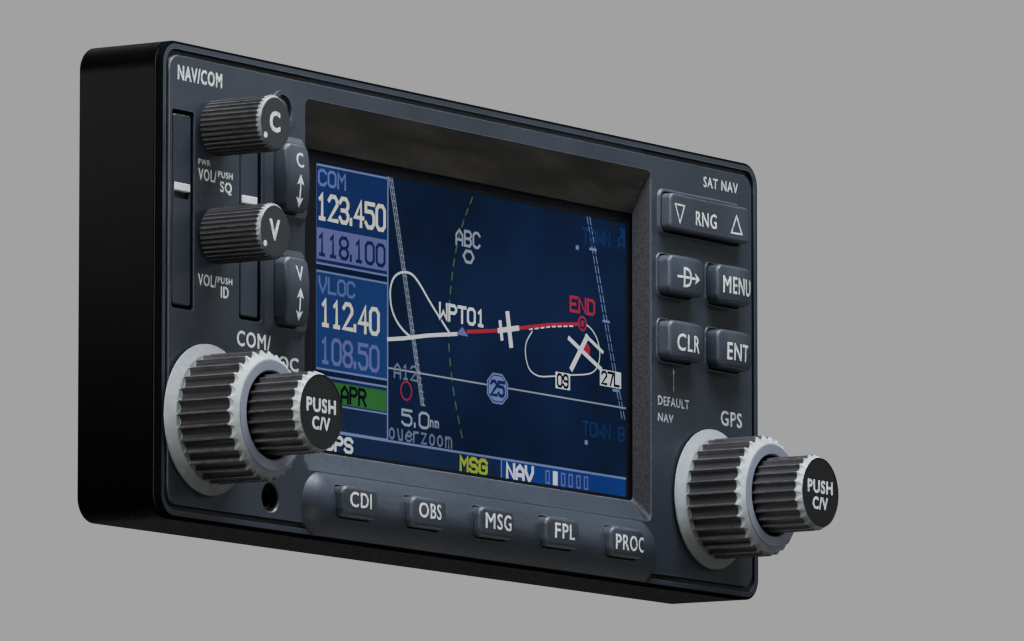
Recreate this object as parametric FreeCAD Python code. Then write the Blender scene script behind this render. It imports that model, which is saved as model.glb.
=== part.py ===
"""Panel navigation and communication unit with satellite positioning, in millimetres.

+X runs to the right as the pilot sees the unit, +Y goes into the panel and +Z is up.
The origin is the centre of the flat back face, so the front face lies at Y = -DEPTH.
Inside this script places along Y are given from the front face, and move_home() shifts them.
"""
import FreeCAD
import Part
import math
import os

Vector = FreeCAD.Vector

# ---- overall sizes ----
WIDTH = 158.8
HEIGHT = 67.3
DEPTH = 14.4
CORNER = 3.5
WALL = 1.4
FLANGE = 1.0            # full-width edge of the bezel
GASKET = 0.3
CASE_FRONT = FLANGE + GASKET
BACK_INSIDE = DEPTH - WALL
PLATE = 2.4             # thickness of the bezel plate

# ---- border of the bezel ----
RIM = 1.15
GROOVE_WIDTH = 0.65
GROOVE_DEPTH = 0.5
EDGE_BEVEL = 0.25
LIP_INSET = 1.65
LIP_WALL = 1.2
LIP_BACK = 4.0

# ---- display ----
WINDOW_LEFT, WINDOW_RIGHT = -43.85, 48.65
WINDOW_BOTTOM, WINDOW_TOP = -23.95, 29.35
GLASS_LEFT, GLASS_RIGHT = -42.3, 47.1
GLASS_BOTTOM, GLASS_TOP = -20.8, 22.8
ACTIVE_LEFT, ACTIVE_RIGHT = -36.5, 46.5
ACTIVE_BOTTOM, ACTIVE_TOP = -20.2, 21.25
LENS_BORDER = 1.1
LENS = (2.42, 3.0)
SURROUND = (3.02, 3.22)
PANEL = (3.25, 5.0)
BACKLIGHT = (5.05, 7.15)
TRAY = (7.2, 7.6)
MODULE_LEFT, MODULE_RIGHT = -40.6, 48.6
MODULE_BOTTOM, MODULE_TOP = -22.9, 23.4
TRAY_WALL = 0.4

# ---- bar that holds the lower keys ----
BAR_LEFT, BAR_RIGHT = -44.4, 49.6
BAR_BOTTOM, BAR_TOP = -33.5, -24.1
BAR_BULGE = 2.1

# ---- keys ----
KEY_GAP = 0.25
KEY_CORNER = 1.2
KEY_FLANGE = (2.65, 3.2)
KEY_FLANGE_REACH = 0.5
KEY_POST_END = 4.8
KEY_POST_RADIUS = 1.0
FLIP_KEY = (5.65, 9.7)
FLIP_X = -49.4
FLIP_ROWS = {"com_flip_key": 17.05, "nav_flip_key": 0.8}
FLIP_FACE = -3.1
FLIP_DOME = 24.0
FLIP_FRAME_RISE = 0.65
FLIP_FRAME_LEFT, FLIP_FRAME_RIGHT = -54.0, -43.95
FLIP_FRAME_CORNER = 1.0
FLIP_FRAME_SLOPE = 1.2    # how far each end of the frame slopes in
FLIP_FRAME_LAND = 0.2     # flat left at each end of a flip key
SIDE_KEY = (9.5, 5.85)
SIDE_KEYS = {
    "direct_key": (55.2, 13.85),
    "menu_key": (69.0, 13.85),
    "clear_key": (55.2, 3.9),
    "enter_key": (69.0, 3.9),
}
SIDE_FACE = -2.85
SIDE_DOME = 20.0
LOWER_KEY = (9.0, 4.4)
LOWER_PITCH = 17.8
LOWER_FIRST_X = -34.15
LOWER_Z = -28.15
LOWER_NAMES = ["course_key", "bearing_key", "message_key", "plan_key", "procedure_key"]
LOWER_FACE = -3.6
LOWER_DOME = 26.0
KEY_EDGE = 0.6            # rounding of a key's front edge
SIDE_COLLAR = (0.4, 0.15)   # width and rise of the frame round a key
RANGE_COLLAR = (0.6, 0.35)
FOOT_DEPTH = 0.2          # how far a raised frame is rooted in the plate
RANGE_KEY = (22.4, 5.6)
RANGE_X, RANGE_Z = 62.3, 23.45
RANGE_FACE = -2.1
RANGE_GAP = 0.35
RANGE_HOLLOW = 160.0      # radius of the shallow hollow across its face
RANGE_PIVOT = 2.9
RANGE_PIN_RADIUS = 0.6
RANGE_POST_X = 7.5

# ---- turning controls ----
LEFT_KNOB = (-68.5, -19.2)
RIGHT_KNOB = (65.0, -19.2)
COM_KNOB = (-67.05, 22.2)
NAV_KNOB = (-67.05, 6.9)
SKIRT_RADIUS = 10.65
SKIRT_BACK, SKIRT_RIM, SKIRT_FRONT = -0.4, -0.75, -1.55
OUTER_RADIUS = 9.15
OUTER_BACK, OUTER_FRONT = -1.2, -11.5
OUTER_BEVEL = (1.3, 1.15)  # width and length
OUTER_FLUTES = (30, 0.75, 0.1)  # how many, how deep, and the share of each step left as a ridge
NUT_SPACE = (7.1, -2.7)
DIAL_SPACE = (6.1, -8.6)  # room in the ring's front for the small dial
INNER_RADIUS = 5.75
INNER_BACK = -9.6
INNER_FRONT = -19.8
INNER_BEVEL = (0.45, 1.05)
INNER_FLUTES = (24, 0.5, 0.12)
INNER_FACE_RADIUS = 5.1   # the marked face lies a little behind the rim
INNER_FACE_DEPTH = 0.06
VOLUME_RADIUS = 4.0
VOLUME_FRONT = -10.9
VOLUME_BACK = -0.65
VOLUME_BEVEL = (0.32, 0.45)
VOLUME_FLUTES = (34, 0.24, 0.25)
BEVEL_LAND = 0.1          # small step between a bevel and the face
VOLUME_SHAFT_RADIUS = 1.5
VOLUME_SHAFT = (-9.0, 7.6)
OUTER_SHAFT_RADIUS = 3.0
OUTER_SHAFT = (-8.55, 6.4)
INNER_SHAFT_RADIUS = 1.6
INNER_SHAFT = (-16.9, 8.0)
FIT = 0.01                # a knob's bore over its shaft
RUNNING_GAP = 0.05
PUSH_TRAVEL = 0.5

# ---- data cards ----
CARD_X = {"left": -74.05, "right": -57.5}
CARD_Z = 9.95
SLOT = (5.5, 28.1)
SLOT_DEPTH = 1.7
HANDLE = (4.3, 26.9)
CARD_BODY = (2.4, 25.1)
CARD_END = 8.7
TAB_TOP, TAB_BOTTOM = 13.7, 12.6
NOTCH_BOTTOM = 11.5
TAB_INSET = 0.25

# ---- boards and fasteners ----
MAIN_BOARD = (9.4, 10.6)
MAIN_BOARD_SIZE = (145.0, 55.0)
KEY_BOARD = (6.0, 7.0)
SWITCH_TOP = 4.9
SWITCH_SIDE = 4.4
BOARD_POSTS = [(-34.0, 18.0), (42.0, 18.0), (-34.0, -16.0), (42.0, -16.0)]
SPACERS = [(-49.1, 9.0), (-49.1, -18.0), (53.6, -18.0), (73.0, 8.6), (56.0, 23.0)]
SCREW_PLACES = [
    (-75.2, 29.5), (75.2, 29.5), (-75.2, -29.5), (75.2, -29.5),
    (-25.5, 30.0), (27.9, 30.0), (-25.5, -30.0), (27.9, -30.0),
]
BOSS_RADIUS = 2.3
BOSS_FRONT = 5.2
POST_BACK = 5.0
SCREW_RADIUS = 1.0
SCREW_HEAD_RADIUS = 2.1
SCREW_HEAD = (13.2, 14.3)
INSERT_SPACING = (130.0, 48.0)
INSERT_FRONT = 11.1
INSERT_RADIUS = 2.1
INSERT_HOLE_RADIUS = 1.25
LOCK = (-52.25, -28.7)
LOCK_HOLE_RADIUS = 2.02
LOCK_HOLE_BEVEL = 0.2
LOCK_HEAD_RADIUS = 1.85
LOCK_HEAD = (1.1, 6.8)
LOCK_SOCKET_ACROSS = 2.38
LOCK_SOCKET_DEPTH = 1.8
SENSOR = (-49.65, 26.9)
SENSOR_RADIUS = 2.1
CONNECTOR = (6.0, -18.5)
CONNECTOR_SIZE = (30.0, 9.0)
JACK = (-22.0, -18.5)
JACK_RADIUS = 4.2

ALONG_Y = Vector(0, 1, 0)
OUT = "parts"


# ---- general shapes ----
def point(x, y, z):
    return Vector(x, y, z)


def rounded_wire(cx, cz, width, height, radius, y):
    """A rectangle with round corners, upright at y."""
    half_w, half_h = width / 2 - radius, height / 2 - radius
    edges, ends = [], []
    for turn, (sx, sz) in enumerate([(1, 1), (-1, 1), (-1, -1), (1, -1)]):
        arc = []
        for share in (0, 0.5, 1):
            angle = math.radians(90 * (turn + share))
            x = cx + sx * half_w + radius * math.cos(angle)
            z = cz + sz * half_h + radius * math.sin(angle)
            arc.append(point(x, y, z))
        ends.append(arc)
    for i, arc in enumerate(ends):
        edges.append(Part.Arc(*arc).toShape())
        following = ends[(i + 1) % 4][0]
        if arc[2].distanceToPoint(following) > 1e-6:
            edges.append(Part.makeLine(arc[2], following))
    return Part.Wire(edges)


def block(cx, cz, width, height, radius, y_front, y_back):
    """A prism along Y with a rounded rectangle as its section."""
    face = Part.Face(rounded_wire(cx, cz, width, height, radius, y_front))
    return face.extrude(point(0, y_back - y_front, 0))


def taper(front, back):
    """A solid between two rounded rectangles, each (cx, cz, width, height, radius, y)."""
    return Part.makeLoft([rounded_wire(*front), rounded_wire(*back)], True, True)


def box(x0, x1, y0, y1, z0, z1):
    return Part.makeBox(x1 - x0, y1 - y0, z1 - z0, point(x0, y0, z0))


def rod(x, z, radius, y_front, y_back):
    return Part.makeCylinder(radius, y_back - y_front, point(x, y_front, z), ALONG_Y)


def tube(x, z, outer, inner, y_front, y_back):
    return rod(x, z, outer, y_front, y_back).cut(rod(x, z, inner, y_front - 1, y_back + 1))


def turned(x, z, outline):
    """A solid of revolution about the Y line through (x, z), from (radius, y) points."""
    points = [point(x + r, y, z) for r, y in outline]
    face = Part.Face(Part.makePolygon(points + [points[0]]))
    return face.revolve(point(x, 0, z), ALONG_Y, 360)


def hexagon(x, z, radius, y_front, y_back):
    """A six-sided prism along Y, radius out to its corners."""
    corners = []
    for i in range(7):
        angle = math.radians(60 * i)
        corners.append(point(x + radius * math.cos(angle), y_front, z + radius * math.sin(angle)))
    return Part.Face(Part.makePolygon(corners)).extrude(point(0, y_back - y_front, 0))


def join(shapes):
    return shapes[0].multiFuse(shapes[1:]).removeSplitter()


def front_edges(shape, y_limit):
    """The edges that lie wholly in front of y_limit."""
    return [e for e in shape.Edges if e.BoundBox.YMax < y_limit]


def placed(shape, x, z):
    """A shape modelled about the Y axis, moved to its own centre line."""
    moved = shape.copy()
    moved.translate(point(x, 0, z))
    return moved


def rounded_span(left, right, bottom, top, radius, y_front, y_back):
    cx, cz = (left + right) / 2, (bottom + top) / 2
    return block(cx, cz, right - left, top - bottom, radius, y_front, y_back)


def insert_places():
    dx, dz = INSERT_SPACING[0] / 2, INSERT_SPACING[1] / 2
    return [(sx * dx, sz * dz) for sx in (-1, 1) for sz in (-1, 1)]


def lower_keys():
    """Name and x of each key on the lower bar."""
    return [(name, LOWER_FIRST_X + i * LOWER_PITCH) for i, name in enumerate(LOWER_NAMES)]


# ---- casing ----
def rear_case():
    shell = block(0, 0, WIDTH, HEIGHT, CORNER, CASE_FRONT, DEPTH)
    back_edges = [e for e in shell.Edges if e.BoundBox.YMin > DEPTH - 0.01]
    shell = shell.makeFillet(0.7, back_edges)
    inside = block(0, 0, WIDTH - 2 * WALL, HEIGHT - 2 * WALL, CORNER - WALL, 0, BACK_INSIDE)
    added = [rod(x, z, BOSS_RADIUS, BOSS_FRONT, BACK_INSIDE) for x, z in SCREW_PLACES]
    added += [rod(x, z, 2.2, MAIN_BOARD[1] + 0.02, BACK_INSIDE) for x, z in BOARD_POSTS]
    added += [rod(x, z, 3.2, MAIN_BOARD[1] + 0.2, BACK_INSIDE) for x, z in insert_places()]
    added.append(rod(*LOCK, 2.6, 8.0, BACK_INSIDE))
    case = join([shell.cut(inside)] + added)
    holes = [rod(x, z, 1.15, BOSS_FRONT - 1, DEPTH + 1) for x, z in SCREW_PLACES]
    holes += [rod(x, z, SCREW_HEAD_RADIUS + 0.1, SCREW_HEAD[0] - 0.02, DEPTH + 1) for x, z in SCREW_PLACES]
    holes += [rod(x, z, 0.85, MAIN_BOARD[1] - 1, BACK_INSIDE + 0.4) for x, z in BOARD_POSTS]
    holes += [rod(x, z, INSERT_RADIUS, MAIN_BOARD[1], DEPTH + 1) for x, z in insert_places()]
    holes.append(rod(*LOCK, 1.3, 7.0, DEPTH + 1))
    holes.append(block(*CONNECTOR, CONNECTOR_SIZE[0] + 0.3, CONNECTOR_SIZE[1] + 0.3, 1.15, 12, DEPTH + 1))
    holes.append(rod(*JACK, JACK_RADIUS + 0.15, 12, DEPTH + 1))
    for column in range(-9, 10):
        holes.append(block(column * 3.2, 15.0, 1.3, 13.0, 0.6, 12, DEPTH + 1))
    return case.cut(Part.makeCompound(holes))


def bezel_gasket():
    outer = block(0, 0, WIDTH - 0.5, HEIGHT - 0.5, CORNER - 0.25, FLANGE, CASE_FRONT)
    return outer.cut(block(0, 0, WIDTH - 2.8, HEIGHT - 2.8, CORNER - WALL, 0, 2))


def window_cut(top, margin=0.0):
    """The display recess, wide at the front face and narrower at the glass."""
    bottom_front, bottom_back = WINDOW_BOTTOM, GLASS_BOTTOM
    front = ((WINDOW_LEFT + WINDOW_RIGHT) / 2, (bottom_front + top) / 2,
             WINDOW_RIGHT - WINDOW_LEFT - margin, top - bottom_front - margin, 1.2, 0)
    back = ((GLASS_LEFT + GLASS_RIGHT) / 2, (bottom_back + top) / 2,
            GLASS_RIGHT - GLASS_LEFT - margin, top - bottom_back - margin, 0.8, PLATE)
    return taper(front, back)


def display_hood():
    """Gloss black slope that overhangs the display."""
    space = window_cut(WINDOW_TOP, 0.06)
    profile = [point(-60, 0, WINDOW_TOP), point(-60, PLATE, GLASS_TOP), point(-60, PLATE, WINDOW_TOP + 5),
               point(-60, 0, WINDOW_TOP + 5)]
    wedge = Part.Face(Part.makePolygon(profile + [profile[0]])).extrude(point(120, 0, 0))
    return space.common(wedge)


def lower_bar():
    """Round bar with ball ends that rises from the front face and covers the groove below it."""
    half = (BAR_TOP - BAR_BOTTOM) / 2
    radius = (half ** 2 + BAR_BULGE ** 2) / (2 * BAR_BULGE)
    cy, cz = radius - BAR_BULGE, (BAR_TOP + BAR_BOTTOM) / 2
    x0, x1 = BAR_LEFT + half, BAR_RIGHT - half
    bar = Part.makeCylinder(radius, x1 - x0, point(x0, cy, cz), Vector(1, 0, 0))
    ball_ends = [Part.makeSphere(radius, point(x, cy, cz)) for x in (x0, x1)]
    root = GROOVE_DEPTH + 0.1
    return join([bar] + ball_ends).common(box(BAR_LEFT - 9, BAR_RIGHT + 9, -9, root, BAR_BOTTOM, BAR_TOP + 1))


def collar(cx, cz, size, gap, reach, rise):
    """A raised frame round a key, with a sloping outer side."""
    width, height = size[0] + 2 * (gap + reach), size[1] + 2 * (gap + reach)
    foot = (cx, cz, width, height, KEY_CORNER + reach, FOOT_DEPTH)
    top = (cx, cz, width - 1.5 * reach, height - 1.5 * reach, KEY_CORNER, -rise)
    return taper(foot, top)


def flip_frame(z):
    """The wide frame round a flip key, which runs up to the display recess."""
    height = FLIP_KEY[1] + 2 * (KEY_GAP + FLIP_FRAME_LAND)
    left = FLIP_FRAME_LEFT + FLIP_FRAME_SLOPE
    right = FLIP_FRAME_RIGHT - 0.25 * FLIP_FRAME_SLOPE
    foot = ((FLIP_FRAME_LEFT + FLIP_FRAME_RIGHT) / 2, z, FLIP_FRAME_RIGHT - FLIP_FRAME_LEFT,
            height + 2 * FLIP_FRAME_SLOPE, FLIP_FRAME_CORNER, FOOT_DEPTH)
    top = ((left + right) / 2, z, right - left, height, FLIP_FRAME_CORNER, -FLIP_FRAME_RISE)
    return taper(foot, top)


def key_hole(cx, cz, size, gap):
    return block(cx, cz, size[0] + 2 * gap, size[1] + 2 * gap, KEY_CORNER + gap, -9, 3.5)


def groove():
    """Channel round the border; its inner side leans so that the panel edge catches light."""
    outer = block(0, 0, WIDTH - 2 * RIM, HEIGHT - 2 * RIM, CORNER - RIM, -1, GROOVE_DEPTH)
    inset = RIM + GROOVE_WIDTH
    top_inset = inset + EDGE_BEVEL
    plateau = taper(
        (0, 0, WIDTH - 2 * top_inset, HEIGHT - 2 * top_inset, 2.2, 0),
        (0, 0, WIDTH - 2 * inset, HEIGHT - 2 * inset, 2.4, GROOVE_DEPTH),
    )
    above = block(0, 0, WIDTH - 2 * top_inset, HEIGHT - 2 * top_inset, 2.2, -2, 0)
    return outer.cut(plateau).cut(above)


def front_bezel():
    flange = block(0, 0, WIDTH, HEIGHT, CORNER, 0, FLANGE)
    flange = flange.makeFillet(0.35, front_edges(flange, 0.01))
    inner_w, inner_h = WIDTH - 2 * WALL - 0.1, HEIGHT - 2 * WALL - 0.1
    plate = block(0, 0, inner_w, inner_h, CORNER - WALL, FLANGE - 0.1, PLATE)
    lip = block(0, 0, WIDTH - 2 * LIP_INSET, HEIGHT - 2 * LIP_INSET, 1.8, PLATE - 0.2, LIP_BACK)
    lip_inside = LIP_INSET + LIP_WALL
    lip = lip.cut(block(0, 0, WIDTH - 2 * lip_inside, HEIGHT - 2 * lip_inside, 0.9, 0, 9))
    body = join([flange, plate, lip]).cut(groove())

    added = [lower_bar(), rod(*LOCK, 2.8, PLATE - 0.2, 7.6)]
    added += [rod(x, z, 2.2, PLATE - 0.2, POST_BACK) for x, z in SCREW_PLACES]
    added.append(collar(RANGE_X, RANGE_Z, RANGE_KEY, RANGE_GAP, *RANGE_COLLAR))
    added += [flip_frame(z) for z in FLIP_ROWS.values()]
    added += [collar(x, z, SIDE_KEY, KEY_GAP, *SIDE_COLLAR) for x, z in SIDE_KEYS.values()]
    added.append(rod(*SENSOR, 2.85, -0.25, 0.2))
    for side in (-1, 1):
        z = RANGE_Z + side * (RANGE_KEY[1] / 2 + 1.2)
        added.append(box(RANGE_X - 1.5, RANGE_X + 1.5, PLATE - 0.2, 4.0, z - 0.5, z + 0.5))
    body = join([body] + added)

    cuts = [window_cut(WINDOW_TOP)]
    for side in (-1, 1):
        z = RANGE_Z + side * (RANGE_KEY[1] / 2 + 1.2)
        cuts.append(Part.makeCylinder(RANGE_PIN_RADIUS + 0.02, 3, point(RANGE_X, RANGE_PIVOT, z - 1.5)))
    cuts.append(key_hole(RANGE_X, RANGE_Z, RANGE_KEY, RANGE_GAP))
    cuts += [key_hole(FLIP_X, z, FLIP_KEY, KEY_GAP) for z in FLIP_ROWS.values()]
    cuts += [key_hole(x, z, SIDE_KEY, KEY_GAP) for x, z in SIDE_KEYS.values()]
    cuts += [key_hole(x, LOWER_Z, LOWER_KEY, KEY_GAP) for _, x in lower_keys()]
    cuts += [rod(x, z, 1.01, 3.0, 6) for x, z in SCREW_PLACES]
    cuts += [rod(x, z, 4.45, -1, 3.0) for x, z in (LEFT_KNOB, RIGHT_KNOB)]
    for x, z in (COM_KNOB, NAV_KNOB):
        cuts.append(rod(x, z, 3.15, -1, 3.0))
    for x in CARD_X.values():
        cuts.append(block(x, CARD_Z, *SLOT, 0.5, -1, SLOT_DEPTH))
        cuts.append(block(x, CARD_Z, CARD_BODY[0] + 0.5, CARD_BODY[1] + 0.6, 0.3, 0, 3.0))
    cuts.append(box(BAR_LEFT, BAR_RIGHT, PLATE, LIP_BACK + 1, -HEIGHT / 2, LOWER_Z))
    cuts.append(rod(*LOCK, LOCK_HOLE_RADIUS, -1, 9))
    cuts.append(turned(*LOCK, [(0, -LOCK_HOLE_BEVEL), (LOCK_HOLE_RADIUS + 2 * LOCK_HOLE_BEVEL, -LOCK_HOLE_BEVEL),
                               (LOCK_HOLE_RADIUS, LOCK_HOLE_BEVEL), (0, LOCK_HOLE_BEVEL)]))
    cuts.append(rod(*SENSOR, SENSOR_RADIUS + 0.1, -1, 3.0))
    return body.cut(Part.makeCompound(cuts))


# ---- display stack ----
def screen_lens():
    edge = LENS_BORDER
    return rounded_span(GLASS_LEFT - edge, GLASS_RIGHT + edge, GLASS_BOTTOM - edge, GLASS_TOP + edge, 0.8, *LENS)


def screen_surround():
    edge = LENS_BORDER
    frame = rounded_span(GLASS_LEFT - edge, GLASS_RIGHT + edge, GLASS_BOTTOM - edge, GLASS_TOP + edge, 0.8,
                         *SURROUND)
    return frame.cut(box(ACTIVE_LEFT, ACTIVE_RIGHT, 0, 9, ACTIVE_BOTTOM, ACTIVE_TOP))


def lcd_panel():
    return box(MODULE_LEFT, MODULE_RIGHT, *PANEL, MODULE_BOTTOM, MODULE_TOP)


def lcd_backlight():
    return box(MODULE_LEFT, MODULE_RIGHT, *BACKLIGHT, MODULE_BOTTOM, MODULE_TOP)


def lcd_tray():
    gap = 0.05
    x0, x1 = MODULE_LEFT - gap, MODULE_RIGHT + gap
    z0, z1 = MODULE_BOTTOM - gap, MODULE_TOP + gap
    t = TRAY_WALL
    outer = box(x0 - t, x1 + t, PANEL[0], TRAY[1], z0 - t, z1 + t)
    return outer.cut(box(x0, x1, 0, TRAY[0], z0, z1))


# ---- boards ----
def main_board():
    board = block(0, 0, *MAIN_BOARD_SIZE, 1.0, *MAIN_BOARD)
    holes = [rod(x, z, 1.1, 5, 12) for x, z in BOARD_POSTS]
    holes.append(rod(*LOCK, 3.0, 5, 12))
    return board.cut(Part.makeCompound(holes))


def keypad_board():
    strips = [
        box(-55.1, -44.6, *KEY_BOARD, -31.9, 30.2),
        box(-55.1, 57.2, *KEY_BOARD, -31.9, -24.6),
        box(50.0, 57.2, *KEY_BOARD, -31.9, -9.0),
        box(50.0, 76.4, *KEY_BOARD, -9.8, 26.8),
    ]
    notches = [rod(x, z, BOSS_RADIUS + 0.4, 5, 9) for x, z in SCREW_PLACES]
    notches.append(rod(*LOCK, 3.1, 5, 9))
    return join(strips).cut(Part.makeCompound(notches))


def switch_places():
    places = [(FLIP_X, z) for z in FLIP_ROWS.values()]
    places += list(SIDE_KEYS.values())
    places += [(x, LOWER_Z) for _, x in lower_keys()]
    places += [(RANGE_X + side * RANGE_POST_X, RANGE_Z) for side in (-1, 1)]
    return places


def key_switches():
    """Tact switches; each key's post dips into the well of its switch."""
    solids = []
    for x, z in switch_places():
        body = block(x, z, SWITCH_SIDE, SWITCH_SIDE, 0.4, SWITCH_TOP, KEY_BOARD[0])
        solids.append(body.cut(rod(x, z, KEY_POST_RADIUS + 0.25, 4, KEY_BOARD[0] - 0.2)))
    return Part.makeCompound(solids)


def board_spacers():
    return Part.makeCompound([rod(x, z, 1.6, KEY_BOARD[1] + 0.02, MAIN_BOARD[0] - 0.02) for x, z in SPACERS])


def screw(x, z, head_radius, head, shank_radius, shank, drive_depth, head_faces_back=True):
    """A pan head screw with a cross recess. head and shank are (front, back) along Y."""
    body = rod(x, z, head_radius, *head)
    face_y = head[1] if head_faces_back else head[0]
    rim = [e for e in body.Edges if abs(e.BoundBox.YMin - face_y) < 0.01 and abs(e.BoundBox.YMax - face_y) < 0.01]
    body = body.makeFillet(0.25, rim)
    body = body.fuse(rod(x, z, shank_radius, *shank))
    y0, y1 = (face_y - drive_depth, face_y + 1) if head_faces_back else (face_y - 1, face_y + drive_depth)
    arm, half = head_radius * 0.55, head_radius * 0.13
    cross = box(x - arm, x + arm, y0, y1, z - half, z + half).fuse(box(x - half, x + half, y0, y1, z - arm, z + arm))
    return body.cut(cross)


def board_screws():
    head = (MAIN_BOARD[0] - 0.9, MAIN_BOARD[0] - 0.01)
    shank = (MAIN_BOARD[0] - 0.01, BACK_INSIDE + 0.2)
    screws = [screw(x, z, 1.7, head, 0.82, shank, 0.45, head_faces_back=False) for x, z in BOARD_POSTS]
    return Part.makeCompound(screws)


def case_screws():
    shank = (3.2, SCREW_HEAD[0])
    return Part.makeCompound([screw(x, z, SCREW_HEAD_RADIUS, SCREW_HEAD, SCREW_RADIUS, shank, 0.6)
                              for x, z in SCREW_PLACES])


def board_chips():
    """Processor, memory and power parts on the back of the main board."""
    parts = [(28.0, 4.0, 12.0, 12.0, 1.2), (28.0, -8.0, 12.0, 8.0, 1.0), (46.0, 5.0, 9.0, 9.0, 1.4),
             (54.0, -6.0, 8.0, 10.0, 1.1), (-54.0, -6.0, 7.0, 9.0, 1.6), (-54.0, 6.0, 6.0, 6.0, 1.2)]
    y = MAIN_BOARD[1] + 0.02
    return Part.makeCompound([block(x, z, w, h, 0.3, y, y + rise) for x, z, w, h, rise in parts])


def receiver_cans():
    y = MAIN_BOARD[1] + 0.02
    cans = []
    for x, z, width, height in ((-8.0, 0.0, 30.0, 20.0), (-38.0, 2.0, 22.0, 22.0)):
        can = block(x, z, width, height, 0.8, y, y + 2.0)
        can = can.makeFillet(0.3, [e for e in can.Edges if e.BoundBox.YMin > y + 1.9])
        cans.append(can.cut(block(x, z, width - 0.6, height - 0.6, 0.5, y - 1, y + 1.7)))
    return Part.makeCompound(cans)


def backup_battery():
    y = MAIN_BOARD[1] + 0.02
    cell = rod(66.0, 4.0, 5.4, y, y + 1.6)
    return cell.fuse(rod(66.0, 4.0, 4.6, y + 1.6, y + 1.9))


def light_sensor():
    lens = rod(*SENSOR, SENSOR_RADIUS, 0.2, 3.0)
    radius = 5.0
    dome = Part.makeSphere(radius, point(SENSOR[0], radius - 0.15, SENSOR[1]))
    dome = dome.common(rod(*SENSOR, SENSOR_RADIUS, -1, 0.6))
    return join([lens, dome, rod(*SENSOR, 1.7, 2.9, KEY_BOARD[0] - 0.02)])


# ---- rear connectors ----
def data_connector():
    y0, y1 = MAIN_BOARD[1] + 0.02, DEPTH - 0.05
    shell = block(*CONNECTOR, *CONNECTOR_SIZE, 1.0, y0, y1)
    shell = shell.cut(block(*CONNECTOR, CONNECTOR_SIZE[0] - 2.4, CONNECTOR_SIZE[1] - 2.4, 0.5, y0 + 0.7, y1 + 1))
    tongue = block(*CONNECTOR, CONNECTOR_SIZE[0] - 6.0, 1.6, 0.3, y0 + 0.5, y1 - 0.6)
    pins = []
    for row in (-1, 1):
        for i in range(11):
            x = CONNECTOR[0] + (i - 5) * 2.0
            pins.append(box(x - 0.3, x + 0.3, y0 + 0.5, y1 - 1.0, CONNECTOR[1] + row * 0.8 - 0.25,
                            CONNECTOR[1] + row * 0.8 + 0.25))
    return join([shell, tongue] + pins)


def antenna_jack():
    y0, y1 = MAIN_BOARD[1] + 0.02, DEPTH - 0.05
    barrel = tube(*JACK, JACK_RADIUS, 2.4, y0 + 0.8, y1)
    return join([barrel, rod(*JACK, JACK_RADIUS, y0, y0 + 0.8), rod(*JACK, 0.5, y0 + 0.5, y1 - 0.8)])


def mounting_inserts():
    inserts = []
    for x, z in insert_places():
        body = rod(x, z, INSERT_RADIUS - 0.01, INSERT_FRONT, DEPTH - 0.02)
        inserts.append(body.cut(rod(x, z, INSERT_HOLE_RADIUS, 10, DEPTH + 1)))
    return Part.makeCompound(inserts)


def lock_screw():
    """Long captive screw, turned through the front with a hex key."""
    x, z = LOCK
    body = join([rod(x, z, LOCK_HEAD_RADIUS, *LOCK_HEAD), rod(x, z, 1.25, LOCK_HEAD[1] - 0.1, DEPTH - 0.3)])
    return body.cut(hexagon(x, z, LOCK_SOCKET_ACROSS / math.sqrt(3), LOCK_HEAD[0] - 1,
                            LOCK_HEAD[0] + LOCK_SOCKET_DEPTH))


# ---- data cards ----
def card_sockets():
    sockets = []
    for x in CARD_X.values():
        outer = block(x, CARD_Z, CARD_BODY[0] + 1.5, CARD_BODY[1] + 1.7, 0.4, PLATE + 0.1, 9.35)
        pocket = block(x, CARD_Z, CARD_BODY[0] + 0.3, CARD_BODY[1] + 0.5, 0.3, 0, CARD_END + 0.15)
        sockets.append(outer.cut(pocket))
    return Part.makeCompound(sockets)


def card(side):
    """A data card: its grip fills the slot and its body reaches into the socket."""
    x = CARD_X[side]
    grip = block(x, CARD_Z, *HANDLE, 0.4, 0.15, 1.55)
    grip = grip.makeChamfer(0.15, front_edges(grip, 0.2))
    body = block(x, CARD_Z, *CARD_BODY, 0.2, 1.5, CARD_END)
    half = HANDLE[0] / 2 - TAB_INSET
    notch = box(x - half, x + half, -1, 0.95, NOTCH_BOTTOM, TAB_TOP)
    return join([grip, body]).cut(notch)


def card_tab(side):
    x = CARD_X[side]
    half = HANDLE[0] / 2 - TAB_INSET - 0.02
    tab = box(x - half, x + half, 0.05, 0.93, TAB_BOTTOM, TAB_TOP - 0.03)
    return tab.makeFillet(0.12, front_edges(tab, 0.07))


# ---- keys ----
def push_key(size, face_y, dome):
    """A key whose front bows outwards, with a flange behind the bezel and a post to its switch."""
    width, height = size
    cap = block(0, 0, width, height, KEY_CORNER, face_y, KEY_FLANGE[0] + 0.1)
    cap = cap.common(Part.makeSphere(dome, point(0, face_y + dome, 0)))
    cap = cap.makeFillet(KEY_EDGE, front_edges(cap, face_y + 1.4))
    reach = 2 * (KEY_FLANGE_REACH + KEY_GAP)
    flange = block(0, 0, width + reach, height + reach, KEY_CORNER + 0.4, *KEY_FLANGE)
    post = rod(0, 0, KEY_POST_RADIUS, KEY_FLANGE[1] - 0.1, KEY_POST_END)
    return join([cap, flange, post])


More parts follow.
